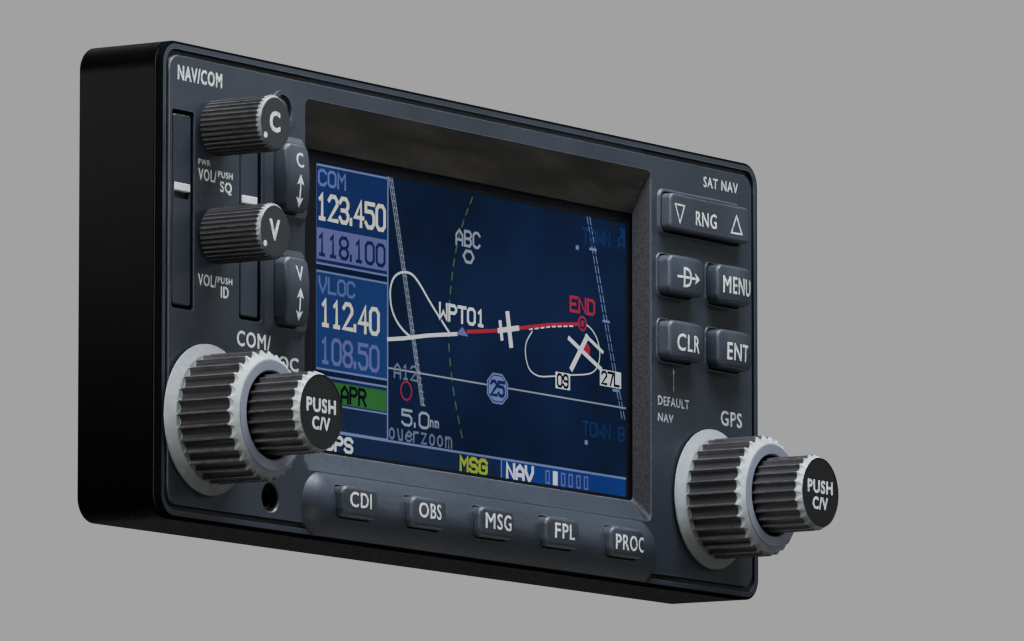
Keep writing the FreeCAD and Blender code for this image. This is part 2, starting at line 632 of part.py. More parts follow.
def range_key():
    """Rocker that tips about an upright pin behind its middle."""
    width, height = RANGE_KEY
    cap = block(RANGE_X, RANGE_Z, width, height, 0.9, RANGE_FACE, 3.3)
    hollow = Part.makeCylinder(RANGE_HOLLOW, height + 2,
                               point(RANGE_X, RANGE_FACE - RANGE_HOLLOW + 0.3, RANGE_Z - height / 2 - 1))
    cap = cap.cut(hollow)
    cap = cap.makeFillet(0.45, front_edges(cap, RANGE_FACE + 0.6))
    cap = cap.cut(box(RANGE_X - 9.5, RANGE_X - 2.0, 1.2, 4, RANGE_Z - 2.0, RANGE_Z + 2.0))
    cap = cap.cut(box(RANGE_X + 2.0, RANGE_X + 9.5, 1.2, 4, RANGE_Z - 2.0, RANGE_Z + 2.0))
    posts = [rod(RANGE_X + side * RANGE_POST_X, RANGE_Z, KEY_POST_RADIUS, 1.0, KEY_POST_END) for side in (-1, 1)]
    hub = block(RANGE_X, RANGE_Z, 4.2, height, 0.5, 3.2, 3.9)
    pin_hole = Part.makeCylinder(RANGE_PIN_RADIUS + 0.05, 12, point(RANGE_X, RANGE_PIVOT, RANGE_Z - 6))
    return join([cap, hub] + posts).cut(pin_hole)


def range_key_pin():
    length = RANGE_KEY[1] + 3.2
    return Part.makeCylinder(RANGE_PIN_RADIUS, length, point(RANGE_X, RANGE_PIVOT, RANGE_Z - length / 2))


# ---- turning controls ----
def fluted(radius, flutes, y_front, y_back):
    """A prism about the Y axis with round grooves cut all the way round it."""
    count, depth, ridge_share = flutes
    step = 2 * math.pi / count
    edges = []

    def at(r, angle):
        return point(r * math.cos(angle), y_front, r * math.sin(angle))

    for i in range(count):
        start = i * step
        ridge_end = start + ridge_share * step
        end = start + step
        edges.append(Part.makeLine(at(radius, start), at(radius, ridge_end)))
        edges.append(Part.Arc(at(radius, ridge_end), at(radius - depth, (ridge_end + end) / 2),
                              at(radius, end)).toShape())
    return Part.Face(Part.Wire(edges)).extrude(point(0, y_back - y_front, 0))


def bevelled(radius, bevel, y_front, land):
    """The outline points of a bevelled front, from the side to the middle."""
    width, length = bevel
    return [(radius, y_front + length), (radius - width, y_front + BEVEL_LAND),
            (radius - width - land, y_front), (0, y_front)]


def outer_knob():
    """Large fluted ring with a bright skirt and a hollow front for the small dial."""
    grip = fluted(OUTER_RADIUS, OUTER_FLUTES, OUTER_FRONT, OUTER_BACK)
    shape = turned(0, 0, [(0, OUTER_BACK), (OUTER_RADIUS, OUTER_BACK)]
                   + bevelled(OUTER_RADIUS, OUTER_BEVEL, OUTER_FRONT, 0.15))
    skirt = turned(0, 0, [(0, SKIRT_BACK), (SKIRT_RADIUS - 0.1, SKIRT_BACK), (SKIRT_RADIUS, SKIRT_BACK - 0.1),
                          (SKIRT_RADIUS, SKIRT_RIM), (OUTER_RADIUS + 0.05, SKIRT_FRONT),
                          (OUTER_RADIUS - 0.75, SKIRT_FRONT - 0.1), (0, SKIRT_FRONT - 0.1)])
    knob = join([grip.common(shape), skirt])
    nut_space = rod(0, 0, *NUT_SPACE, 0)
    room, floor = DIAL_SPACE
    front_space = turned(0, 0, [(0, floor), (room, floor), (room, OUTER_FRONT + 0.25), (room + 0.25, OUTER_FRONT),
                                (room + 0.25, OUTER_FRONT - 1), (0, OUTER_FRONT - 1)])
    bore = rod(0, 0, OUTER_SHAFT_RADIUS + FIT, -20, 0)
    return knob.cut(Part.makeCompound([nut_space, front_space, bore]))


def outer_shaft(x, z):
    return tube(x, z, OUTER_SHAFT_RADIUS, INNER_SHAFT_RADIUS + RUNNING_GAP + FIT, *OUTER_SHAFT)


def inner_knob():
    grip = fluted(INNER_RADIUS, INNER_FLUTES, INNER_FRONT, INNER_BACK)
    shape = turned(0, 0, [(0, INNER_BACK), (INNER_RADIUS - 0.6, INNER_BACK), (INNER_RADIUS, INNER_BACK - 0.5)]
                   + bevelled(INNER_RADIUS, INNER_BEVEL, INNER_FRONT, 0.05))
    bore = rod(0, 0, INNER_SHAFT_RADIUS + FIT, INNER_SHAFT[0] - 0.1, 0)
    face = rod(0, 0, INNER_FACE_RADIUS, INNER_FRONT - 1, INNER_FRONT + INNER_FACE_DEPTH)
    return grip.common(shape).cut(Part.makeCompound([bore, face]))


def inner_shaft(x, z):
    return rod(x, z, INNER_SHAFT_RADIUS, *INNER_SHAFT)


def encoder_bodies():
    bodies = []
    for x, z in (LEFT_KNOB, RIGHT_KNOB):
        body = block(x, z, 13.0, 13.0, 0.8, 3.2, MAIN_BOARD[0] - 0.02)
        bushing = rod(x, z, 4.25, -2.3, 3.3)
        body = join([body, bushing])
        body = body.cut(rod(x, z, OUTER_SHAFT_RADIUS + RUNNING_GAP, -5, 6.6))
        bodies.append(body.cut(rod(x, z, 2.9, 6.5, 9.1)))
    return Part.makeCompound(bodies)


def encoder_nuts():
    solids = []
    for x, z in (LEFT_KNOB, RIGHT_KNOB):
        solids.append(tube(x, z, 6.3, 4.3, -0.26, -0.02))
        solids.append(hexagon(x, z, 6.3, -1.9, -0.3).cut(rod(x, z, 4.27, -5, 5)))
    return Part.makeCompound(solids)


def push_collar(x, z, shaft_radius, outer, y_front):
    """Ring on the shaft that presses the switch when the knob is pushed."""
    return tube(x, z, outer, shaft_radius + RUNNING_GAP, y_front, y_front + 0.6)


def volume_controls():
    bodies = []
    for x, z in (COM_KNOB, NAV_KNOB):
        body = join([block(x, z, 8.8, 11.0, 0.6, 3.0, MAIN_BOARD[0] - 0.02), rod(x, z, 3.0, 0.9, 3.1)])
        body = body.cut(rod(x, z, VOLUME_SHAFT_RADIUS + RUNNING_GAP, 0, 5.1))
        bodies.append(body.cut(rod(x, z, 2.4, 5.0, 9.1)))
    return Part.makeCompound(bodies)


def volume_shaft(x, z):
    return rod(x, z, VOLUME_SHAFT_RADIUS, *VOLUME_SHAFT)


def volume_knob():
    grip = fluted(VOLUME_RADIUS, VOLUME_FLUTES, VOLUME_FRONT, VOLUME_BACK)
    shape = turned(0, 0, [(0, VOLUME_BACK), (VOLUME_RADIUS - 0.15, VOLUME_BACK), (VOLUME_RADIUS, VOLUME_BACK - 0.25)]
                   + bevelled(VOLUME_RADIUS, VOLUME_BEVEL, VOLUME_FRONT, 0.1))
    return grip.common(shape).cut(rod(0, 0, VOLUME_SHAFT_RADIUS + FIT, VOLUME_SHAFT[0] - 0.1, 1))


# ---- build ----
def all_parts():
    parts = {
        "rear_case": rear_case(),
        "front_bezel": front_bezel(),
        "bezel_gasket": bezel_gasket(),
        "display_hood": display_hood(),
        "screen_lens": screen_lens(),
        "screen_surround": screen_surround(),
        "lcd_panel": lcd_panel(),
        "lcd_backlight": lcd_backlight(),
        "lcd_tray": lcd_tray(),
        "keypad_board": keypad_board(),
        "key_switches": key_switches(),
        "main_board": main_board(),
        "board_spacers": board_spacers(),
        "board_screws": board_screws(),
        "board_chips": board_chips(),
        "receiver_cans": receiver_cans(),
        "backup_battery": backup_battery(),
        "light_sensor": light_sensor(),
        "card_sockets": card_sockets(),
        "encoder_bodies": encoder_bodies(),
        "encoder_nuts": encoder_nuts(),
        "volume_controls": volume_controls(),
        "range_key": range_key(),
        "range_key_pin": range_key_pin(),
        "data_connector": data_connector(),
        "antenna_jack": antenna_jack(),
        "mounting_inserts": mounting_inserts(),
        "case_screws": case_screws(),
        "lock_screw": lock_screw(),
    }
    for side, place in (("left", LEFT_KNOB), ("right", RIGHT_KNOB)):
        parts[side + "_outer_shaft"] = outer_shaft(*place)
        parts[side + "_outer_knob"] = placed(outer_knob(), *place)
        parts[side + "_push_collar"] = push_collar(*place, INNER_SHAFT_RADIUS, 2.6, 6.9)
        parts[side + "_inner_shaft"] = inner_shaft(*place)
        parts[side + "_inner_knob"] = placed(inner_knob(), *place)
        parts[side + "_card"] = card(side)
        parts[side + "_card_tab"] = card_tab(side)
    for name, place in (("com", COM_KNOB), ("nav", NAV_KNOB)):
        parts[name + "_push_collar"] = push_collar(*place, VOLUME_SHAFT_RADIUS, 2.2, 5.6)
        parts[name + "_volume_shaft"] = volume_shaft(*place)
        parts[name + "_volume_knob"] = placed(volume_knob(), *place)
    flip_key = push_key(FLIP_KEY, FLIP_FACE, FLIP_DOME)
    for name, z in FLIP_ROWS.items():
        parts[name] = placed(flip_key, FLIP_X, z)
    side_key = push_key(SIDE_KEY, SIDE_FACE, SIDE_DOME)
    for name, place in SIDE_KEYS.items():
        parts[name] = placed(side_key, *place)
    lower_key = push_key(LOWER_KEY, LOWER_FACE, LOWER_DOME)
    for name, x in lower_keys():
        parts[name] = placed(lower_key, x, LOWER_Z)
    return parts


def move_home(shape):
    """Shifts a shape from front-face places to the frame whose origin is on the back face."""
    moved = shape.copy()
    moved.translate(point(0, -DEPTH, 0))
    return moved


def main():
    os.makedirs(OUT, exist_ok=True)
    parts = all_parts()
    for name, shape in parts.items():
        solids = shape.Solids
        home = move_home(Part.makeCompound(solids) if len(solids) > 1 else solids[0])
        if not home.isValid():
            print("not valid:", name)
        home.exportStep(os.path.join(OUT, name + ".step"))
        size = home.BoundBox
        print(f"{name}: {len(solids)} solid(s), {size.XLength:.2f} x {size.YLength:.2f} x {size.ZLength:.2f}")
    print(len(parts), "parts")


main()
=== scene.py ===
import math
import bmesh
import bpy
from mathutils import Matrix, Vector
from mathutils.bvhtree import BVHTree


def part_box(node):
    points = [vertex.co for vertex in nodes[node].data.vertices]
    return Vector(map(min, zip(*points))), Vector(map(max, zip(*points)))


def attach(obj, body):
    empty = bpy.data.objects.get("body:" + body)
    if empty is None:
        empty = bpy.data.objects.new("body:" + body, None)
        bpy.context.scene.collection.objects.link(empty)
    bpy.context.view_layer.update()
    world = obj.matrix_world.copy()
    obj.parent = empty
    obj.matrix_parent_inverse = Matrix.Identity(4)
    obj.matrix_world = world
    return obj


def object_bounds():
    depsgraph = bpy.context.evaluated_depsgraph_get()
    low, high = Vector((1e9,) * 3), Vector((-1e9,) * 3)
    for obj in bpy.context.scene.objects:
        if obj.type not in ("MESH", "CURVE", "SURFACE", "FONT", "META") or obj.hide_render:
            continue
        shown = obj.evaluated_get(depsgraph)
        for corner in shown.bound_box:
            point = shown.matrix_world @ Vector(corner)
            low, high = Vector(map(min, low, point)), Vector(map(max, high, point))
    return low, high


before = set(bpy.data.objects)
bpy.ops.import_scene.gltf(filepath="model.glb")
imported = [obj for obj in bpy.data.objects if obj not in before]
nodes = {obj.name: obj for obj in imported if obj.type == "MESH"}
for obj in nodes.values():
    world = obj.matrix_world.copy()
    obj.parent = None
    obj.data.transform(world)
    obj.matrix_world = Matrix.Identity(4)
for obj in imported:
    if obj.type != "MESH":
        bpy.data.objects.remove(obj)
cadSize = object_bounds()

mm = 0.001
caseDepth = 14.4 * mm
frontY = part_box("rear_case")[1].y - caseDepth  # plane of the bezel's front face


def tone(red, green, blue):  # 0-255 screen colour to a linear shader colour
    parts = [value / 255 for value in (red, green, blue)]
    return tuple(p / 12.92 if p < 0.04 else ((p + 0.055) / 1.055) ** 2.4 for p in parts) + (1.0,)


def middle(node):
    low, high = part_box(node)
    return (low + high) / 2


# Shader graph helpers. A value may be a number, a colour or another node's output.
def feed(tree, value, socket):
    if isinstance(value, bpy.types.NodeSocket):
        tree.links.new(value, socket)
    elif value is not None:
        socket.default_value = value


def maths(tree, operation, first, second=None):
    node = tree.nodes.new("ShaderNodeMath")
    node.operation = operation
    feed(tree, first, node.inputs[0])
    feed(tree, second, node.inputs[1])
    return node.outputs[0]


def span(tree, value, low, high, outLow=0.0, outHigh=1.0):
    node = tree.nodes.new("ShaderNodeMapRange")
    node.interpolation_type = "SMOOTHSTEP"
    for socket, number in zip(node.inputs, (value, low, high, outLow, outHigh)):
        feed(tree, number, socket)
    return node.outputs[0]


def noise(tree, where, scale, detail=2.0, stretch=None):
    if stretch:
        mapping = tree.nodes.new("ShaderNodeMapping")
        mapping.inputs["Scale"].default_value = stretch
        tree.links.new(where, mapping.inputs["Vector"])
        where = mapping.outputs[0]
    node = tree.nodes.new("ShaderNodeTexNoise")
    node.inputs["Scale"].default_value = scale
    node.inputs["Detail"].default_value = detail
    tree.links.new(where, node.inputs["Vector"])
    return node.outputs["Fac"]


def mixTones(tree, share, first, second):
    node = tree.nodes.new("ShaderNodeMix")
    node.data_type = "RGBA"
    feed(tree, share, node.inputs[0])
    feed(tree, first, node.inputs[6])
    feed(tree, second, node.inputs[7])
    return node.outputs[2]


def addBump(tree, shader, height, strength, distance):
    node = tree.nodes.new("ShaderNodeBump")
    node.inputs["Strength"].default_value = strength
    node.inputs["Distance"].default_value = distance
    tree.links.new(height, node.inputs["Height"])
    tree.links.new(node.outputs[0], shader.inputs["Normal"])


def edgeShare(tree, radius, low, high):  # 0 on flats, 1 where the surface turns sharply
    bevel = tree.nodes.new("ShaderNodeBevel")
    bevel.samples = 4
    bevel.inputs["Radius"].default_value = radius
    geometry = tree.nodes.new("ShaderNodeNewGeometry")
    dot = tree.nodes.new("ShaderNodeVectorMath")
    dot.operation = "DOT_PRODUCT"
    tree.links.new(bevel.outputs[0], dot.inputs[0])
    tree.links.new(geometry.outputs["Normal"], dot.inputs[1])
    return span(tree, maths(tree, "SUBTRACT", 1.0, dot.outputs["Value"]), low, high)


def evenNormals(node):  # large flats stay flat where they meet small rounded edges
    if not node.modifiers:
        even = node.modifiers.new("evenNormals", "WEIGHTED_NORMAL")
        even.keep_sharp = True
        even.weight = 100
        even.mode = "FACE_AREA"


def startMaterial(name, **values):
    material = bpy.data.materials.new(name)
    material.use_nodes = True
    tree = material.node_tree
    shader = tree.nodes["Principled BSDF"]
    for socket, value in values.items():
        shader.inputs[socket.replace("_", " ")].default_value = value
    where = tree.nodes.new("ShaderNodeTexCoord").outputs["Object"]
    return material, tree, shader, where


def applyFinish(material, *names):
    for name in names:
        slots = nodes[name].data.materials
        slots.clear()
        slots.append(material)
        evenNormals(nodes[name])


def meshPiece(name, points, faces, material, body="root"):
    mesh = bpy.data.meshes.new(name)
    mesh.from_pydata(points, [], faces)
    mesh.update()
    mesh.materials.append(material)
    piece = bpy.data.objects.new(name, mesh)
    bpy.context.scene.collection.objects.link(piece)
    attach(piece, body)
    return piece


def axes(tree, where):  # a place's x, y and z
    parts = tree.nodes.new("ShaderNodeSeparateXYZ")
    tree.links.new(where, parts.inputs[0])
    return parts.outputs


def outlineDepth(tree, where, corner):  # how far inside the front's rounded outline a place is
    low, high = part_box("rear_case")
    place = axes(tree, where)
    total = None
    for axis in (0, 2):
        half, centre = (high[axis] - low[axis]) / 2, (high[axis] + low[axis]) / 2
        away = maths(tree, "ABSOLUTE", maths(tree, "SUBTRACT", place[axis], centre))
        over = maths(tree, "MAXIMUM", maths(tree, "SUBTRACT", away, half - corner), 0.0)
        square = maths(tree, "MULTIPLY", over, over)
        total = square if total is None else maths(tree, "ADD", total, square)
    return maths(tree, "SUBTRACT", corner, maths(tree, "SQRT", total))


def shadeFront(tree, where, shader, look, colour):
    # painted shade in the deep recess beside the screen, then painted shade that turns the outer
    # edge near black
    place = axes(tree, where)
    low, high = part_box("screen_lens")
    reach = (high.x - low.x) / 2
    away = maths(tree, "ABSOLUTE", maths(tree, "SUBTRACT", place[0], (low.x + high.x) / 2))
    beside = span(tree, away, reach - look["shadeStart"], reach - look["shadeFull"])
    sunk = span(tree, place[1], frontY + look["sunkStart"], frontY + look["sunkFull"])
    colour = mixTones(tree, maths(tree, "MULTIPLY", beside, sunk), colour, look["shade"])
    inward = outlineDepth(tree, where, look["corner"])
    clear = span(tree, inward, 0.8 * look["outline"], 1.2 * look["outline"])
    gloss = maths(tree, "MULTIPLY", clear, look["specular"])
    tree.links.new(gloss, shader.inputs["Specular IOR Level"])
    return mixTones(tree, clear, look["black"], colour)


def shadeCase(tree, where, look, colour):
    # painted shade darkens the case toward its foot and over its top edge; its flat back is greyer
    place = axes(tree, where)
    low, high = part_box("rear_case")
    climb = span(tree, place[2], low.z + look["footStart"], high.z - look["footEnd"])
    colour = mixTones(tree, climb, look["foot"], colour)
    over = span(tree, place[2], high.z - look["topStart"], high.z - look["topEnd"])
    colour = mixTones(tree, over, colour, look["foot"])
    behind = span(tree, place[1], high.y - look["backStart"], high.y - look["backEnd"])
    return mixTones(tree, behind, colour, look["back"])


wearAndHighlightScale = 420  # rubbed patches and painted highlight along the edges


# Moulded plastic: two close tones in soft clouds, a fine grain, and paler edges, partly wear and
# partly painted highlight.
def mouldedPlastic(name, look):
    material, tree, shader, where = startMaterial(name, Specular_IOR_Level=look["specular"])
    cloud = span(tree, noise(tree, where, look["cloud"], 3), 0.3, 0.7)
    grain = noise(tree, where, look["grain"])
    body = mixTones(tree, cloud, look["dark"], look["light"])
    # painted highlight and wear: edges turn paler in patches, toward the look's edge colour
    edges = edgeShare(tree, look["edgeWidth"], 0.02, 0.3)
    wearAndHighlight = span(tree, noise(tree, where, wearAndHighlightScale), 0.3, 0.65, 0.35, look["wear"])
    colour = mixTones(tree, maths(tree, "MULTIPLY", edges, wearAndHighlight), body, look["edge"])
    if "outline" in look:
        colour = shadeFront(tree, where, shader, look, colour)
    if "foot" in look:
        colour = shadeCase(tree, where, look, colour)
    tree.links.new(colour, shader.inputs["Base Color"])
    least, most = look["roughness"] - 0.07, look["roughness"] + 0.08
    tree.links.new(span(tree, grain, 0.3, 0.7, least, most), shader.inputs["Roughness"])
    addBump(tree, shader, grain, look["grainStrength"], 0.05 * mm)
    return material


bezelLook = {
    "dark": tone(34, 39, 46), "light": tone(43, 48, 56), "edge": tone(104, 108, 128),
    "cloud": 35, "grain": 2600, "grainStrength": 0.22, "roughness": 0.46, "specular": 0.4,
    "edgeWidth": 0.25 * mm, "wear": 0.6,
    # black is painted shade on the front's outer edge
    "black": tone(8, 9, 11), "outline": 0.42 * mm, "corner": 3.5 * mm,
    "shade": tone(15, 17, 22), "shadeStart": 1.5 * mm, "shadeFull": 1.0 * mm,
    "sunkStart": 0.02 * mm, "sunkFull": 0.3 * mm,
}
keyLook = {
    "dark": tone(39, 43, 50), "light": tone(48, 53, 61), "edge": tone(120, 124, 138),
    "cloud": 90, "grain": 3200, "grainStrength": 0.2, "roughness": 0.42, "specular": 0.4,
    "edgeWidth": 0.35 * mm, "wear": 0.6,
}
cardLook = {
    "dark": tone(36, 40, 48), "light": tone(44, 49, 57), "edge": tone(70, 76, 88),
    "cloud": 60, "grain": 2400, "grainStrength": 0.3, "roughness": 0.5, "specular": 0.4,
    "edgeWidth": 0.2 * mm, "wear": 0.4,
}
caseLook = {
    "dark": tone(19, 20, 20), "light": tone(25, 25, 24), "edge": tone(34, 35, 37),
    "cloud": 22, "grain": 1800, "grainStrength": 0.1, "roughness": 0.55, "specular": 0.03,
    "edgeWidth": 0.3 * mm, "wear": 0.3,
    # painted shade toward the foot and over the top edge
    "foot": tone(1, 1, 2), "footStart": 2 * mm, "footEnd": 8 * mm,
    "topStart": 4.5 * mm, "topEnd": 3 * mm,
    "back": tone(44, 45, 48), "backStart": 0.25 * mm, "backEnd": 0.05 * mm,
}
keyNames = [
    "com_flip_key", "nav_flip_key", "range_key", "direct_key", "menu_key", "clear_key",
    "enter_key", "course_key", "bearing_key", "message_key", "plan_key", "procedure_key",
]
applyFinish(mouldedPlastic("slateMoulding", bezelLook), "front_bezel")
applyFinish(mouldedPlastic("slateKeys", keyLook), *keyNames)
applyFinish(mouldedPlastic("cardMoulding", cardLook), "left_card", "right_card")
applyFinish(mouldedPlastic("blackPowderCoat", caseLook), "rear_case")
print("casing, bezel and keys are finished")


# Plain stock for small and inner parts: a clouded colour, brushed or grained.
def stockMaterial(name, look):
    values = {"Metallic": look.get("metal", 0.0), "Specular_IOR_Level": look.get("specular", 0.5)}
    material, tree, shader, where = startMaterial(name, **values)
    streak = noise(tree, where, look["scale"], 4, look.get("stretch"))
    share = span(tree, streak, 0.3, 0.7)
    tree.links.new(mixTones(tree, share, look["dark"], look["light"]), shader.inputs["Base Color"])
    least, most = look["roughness"] - 0.06, look["roughness"] + 0.08
    tree.links.new(span(tree, streak, 0.3, 0.7, least, most), shader.inputs["Roughness"])
    addBump(tree, shader, streak, look.get("bump", 0.1), 0.03 * mm)
    return material


stockLooks = {
    "blackSteel": {"dark": tone(52, 52, 54), "light": tone(82, 82, 84), "scale": 900,
                   "roughness": 0.38, "metal": 1.0, "stretch": (1, 6, 1)},
    "plateSteel": {"dark": tone(150, 152, 154), "light": tone(190, 192, 195), "scale": 500,
                   "roughness": 0.32, "metal": 1.0, "stretch": (1, 1, 12)},
    "turnedBrass": {"dark": tone(168, 134, 66), "light": tone(204, 170, 96), "scale": 700,
                    "roughness": 0.3, "metal": 1.0, "stretch": (1, 8, 1)},
    "brightCell": {"dark": tone(190, 190, 194), "light": tone(222, 222, 226), "scale": 300,
                   "roughness": 0.18, "metal": 1.0},
    "sealRubber": {"dark": tone(16, 16, 16), "light": tone(26, 26, 26), "scale": 1500,
                   "roughness": 0.75, "bump": 0.4},
    "boardLaminate": {"dark": tone(12, 62, 34), "light": tone(22, 92, 50), "scale": 260,
                      "roughness": 0.4},
    "mouldedBlack": {"dark": tone(22, 23, 25), "light": tone(34, 35, 38), "scale": 1600,
                     "roughness": 0.5, "bump": 0.25},
    "clearAcrylic": {"dark": tone(214, 220, 226), "light": tone(232, 236, 240), "scale": 120,
                     "roughness": 0.2},
    "maskBlack": {"dark": tone(5, 6, 8), "light": tone(9, 10, 13), "scale": 900,
                  "roughness": 0.6, "specular": 0.15},
    "cellGlass": {"dark": tone(5, 8, 16), "light": tone(8, 12, 22), "scale": 200,
                  "roughness": 0.3, "specular": 0.1},
    "tabWhite": {"dark": tone(206, 212, 214), "light": tone(232, 236, 238), "scale": 700,
                 "roughness": 0.35},
    # the hood's dark gloss plastic, made paler with stretched streaks as painted reflection
    "hoodGlossWithSheen": {"dark": tone(30, 29, 27), "light": tone(53, 51, 47), "scale": 55,
                  "roughness": 0.2, "stretch": (1, 1, 5), "bump": 0.02},
    "sensorSmoke": {"dark": tone(44, 42, 42), "light": tone(74, 70, 66), "scale": 500,
                    "roughness": 0.15, "bump": 0.0},
}
stockUses = {
    "blackSteel": ["case_screws", "board_screws", "board_spacers", "encoder_nuts",
                   "range_key_pin", "lock_screw", "left_outer_shaft", "right_outer_shaft",
                   "left_inner_shaft", "right_inner_shaft", "com_volume_shaft",
                   "nav_volume_shaft"],
    "plateSteel": ["lcd_tray", "receiver_cans"],
    "turnedBrass": ["mounting_inserts", "antenna_jack"],
    "brightCell": ["backup_battery"],
    "sealRubber": ["bezel_gasket"],
    "boardLaminate": ["main_board", "keypad_board"],
    "mouldedBlack": ["board_chips", "key_switches", "card_sockets", "encoder_bodies",
                     "volume_controls", "data_connector", "left_push_collar",
                     "right_push_collar", "com_push_collar", "nav_push_collar"],
    "clearAcrylic": ["lcd_backlight"],
    "maskBlack": ["screen_surround"],
    "cellGlass": ["lcd_panel"],
    "tabWhite": ["left_card_tab", "right_card_tab"],
    "hoodGlossWithSheen": ["display_hood"],
    "sensorSmoke": ["light_sensor"],
}
for name, look in stockLooks.items():
    applyFinish(stockMaterial(name, look), *stockUses[name])


lensLook = {
    "dark": tone(30, 34, 44), "light": tone(52, 58, 72), "haze": 60,
    "alpha": 0.05, "roughness": 0.12, "specular": 0.3,
}


def lensMaterial(look):
    material, tree, shader, where = startMaterial("coatedLens", Alpha=look["alpha"],
                                                  Specular_IOR_Level=look["specular"])
    haze = noise(tree, where, look["haze"], 3)
    colour = mixTones(tree, haze, look["dark"], look["light"])
    tree.links.new(colour, shader.inputs["Base Color"])
    least, most = look["roughness"] - 0.04, look["roughness"] + 0.05
    tree.links.new(span(tree, haze, 0.3, 0.7, least, most), shader.inputs["Roughness"])
    return material


applyFinish(lensMaterial(lensLook), "screen_lens")
print("inner parts, mask and lens are finished")


knobGrain = {"cloud": 160, "patch": 130, "scuff": 900, "fine": 2600, "softness": 0.08 * mm}


# A knob's colours by distance from its axis and depth behind its face.
def knobMaterial(name, node, look):
    material, tree, shader, where = startMaterial(name, Specular_IOR_Level=0.5)
    centre, low = middle(node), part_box(node)[0]
    shift = tree.nodes.new("ShaderNodeVectorMath")
    shift.operation = "SUBTRACT"
    tree.links.new(where, shift.inputs[0])
    shift.inputs[1].default_value = (centre.x, low.y, centre.z)
    across, depth, up = axes(tree, shift.outputs[0])
    square = maths(tree, "ADD", maths(tree, "POWER", across, 2.0), maths(tree, "POWER", up, 2.0))
    radius = maths(tree, "SQRT", square)
    scuff = noise(tree, where, knobGrain["scuff"], 4)
    reach = centre.z - low.z
    # painted shade: the bright rings darken toward the knob's bottom, in soft patches
    patches = maths(tree, "SUBTRACT", noise(tree, where, knobGrain["patch"], 4), 0.5)
    shadeFreeShare = maths(tree, "ADD", span(tree, up, -reach, 0.3 * reach),
                  maths(tree, "MULTIPLY", patches, 0.5))
    cloud = span(tree, noise(tree, where, knobGrain["cloud"], 3), 0.3, 0.7)
    colour = mixTones(tree, cloud, look["dark"], look["light"])
    roughness = look["roughness"]
    soft = knobGrain["softness"]
    for ring in look["rings"]:
        share = 1.0
        for value, (start, end) in ((radius, ring["radius"]), (depth, ring["depth"])):
            rise = span(tree, value, start * mm - soft, start * mm + soft)
            fall = span(tree, value, end * mm - soft, end * mm + soft, 1.0, 0.0)
            share = maths(tree, "MULTIPLY", share, maths(tree, "MULTIPLY", rise, fall))
        patchy = span(tree, scuff, 0.35, 0.6, ring["least"], ring["most"])
        share = maths(tree, "MULTIPLY", share, patchy)
        plate = ring["colour"]
        if "paintedLowShade" in ring:
            plate = mixTones(tree, shadeFreeShare, ring["paintedLowShade"], plate)
        colour = mixTones(tree, share, colour, plate)
        duller = maths(tree, "MULTIPLY", share, ring.get("duller", 0.0))
        roughness = maths(tree, "ADD", roughness, duller)
    tree.links.new(colour, shader.inputs["Base Color"])
    feed(tree, roughness, shader.inputs["Roughness"])
    addBump(tree, shader, noise(tree, where, knobGrain["fine"]), 0.12, 0.04 * mm)
    return material


# Rings lie between two radii and two depths behind the face, in mm.
outerKnobLook = {
    "dark": tone(19, 19, 21), "light": tone(29, 28, 29), "roughness": 0.42,
    "rings": [
        # painted highlight and wear along the flute crests
        {"radius": (8.75, 9.4), "depth": (-1, 9.7), "colour": tone(62, 61, 64),
         "least": 0.45, "most": 0.9},
        {"radius": (7.6, 9.6), "depth": (0.1, 1.35), "colour": tone(158, 168, 170),
         "paintedLowShade": tone(78, 82, 84), "least": 0.8, "most": 1.0, "duller": 0.05},
        {"radius": (6.0, 7.75), "depth": (-1, 0.16), "colour": tone(116, 120, 136),
         "least": 0.95, "most": 1.0},
        {"radius": (8.3, 11.0), "depth": (9.75, 12), "colour": tone(136, 144, 147),
         "paintedLowShade": tone(80, 83, 84), "least": 0.85, "most": 1.0, "duller": 0.05},
    ],
}
innerKnobLook = {
    "dark": tone(19, 19, 21), "light": tone(28, 27, 28), "roughness": 0.42,
    "rings": [
        # painted highlight and wear along the flute crests
        {"radius": (5.5, 5.9), "depth": (-1, 10), "colour": tone(58, 58, 61),
         "least": 0.35, "most": 0.85},
        {"radius": (5.15, 6.0), "depth": (0.06, 1.15), "colour": tone(166, 176, 177),
         "paintedLowShade": tone(74, 77, 78), "least": 0.8, "most": 1.0},
        {"radius": (-1, 5.2), "depth": (-1, 0.2), "colour": tone(11, 12, 13),
         "least": 1.0, "most": 1.0},
    ],
}
volumeKnobLook = {
    "dark": tone(18, 18, 20), "light": tone(27, 27, 28), "roughness": 0.42,
    "rings": [
        # painted highlight and wear along the flute crests
        {"radius": (3.85, 4.2), "depth": (-1, 11), "colour": tone(50, 51, 54),
         "least": 0.3, "most": 0.8},
        {"radius": (3.55, 4.2), "depth": (0.03, 0.62), "colour": tone(124, 131, 136),
         "paintedLowShade": tone(54, 58, 60), "least": 0.55, "most": 1.0},
        {"radius": (-1, 3.55), "depth": (-1, 0.3), "colour": tone(33, 36, 39),
         "least": 1.0, "most": 1.0},
    ],
}
for side in ("left", "right"):
    outer, inner = side + "_outer_knob", side + "_inner_knob"
    applyFinish(knobMaterial(side + "OuterKnob", outer, outerKnobLook), outer)
    applyFinish(knobMaterial(side + "InnerKnob", inner, innerKnobLook), inner)
for channel in ("com", "nav"):
    knob = channel + "_volume_knob"
    applyFinish(knobMaterial(channel + "VolumeKnob", knob, volumeKnobLook), knob)
print("knobs are finished")


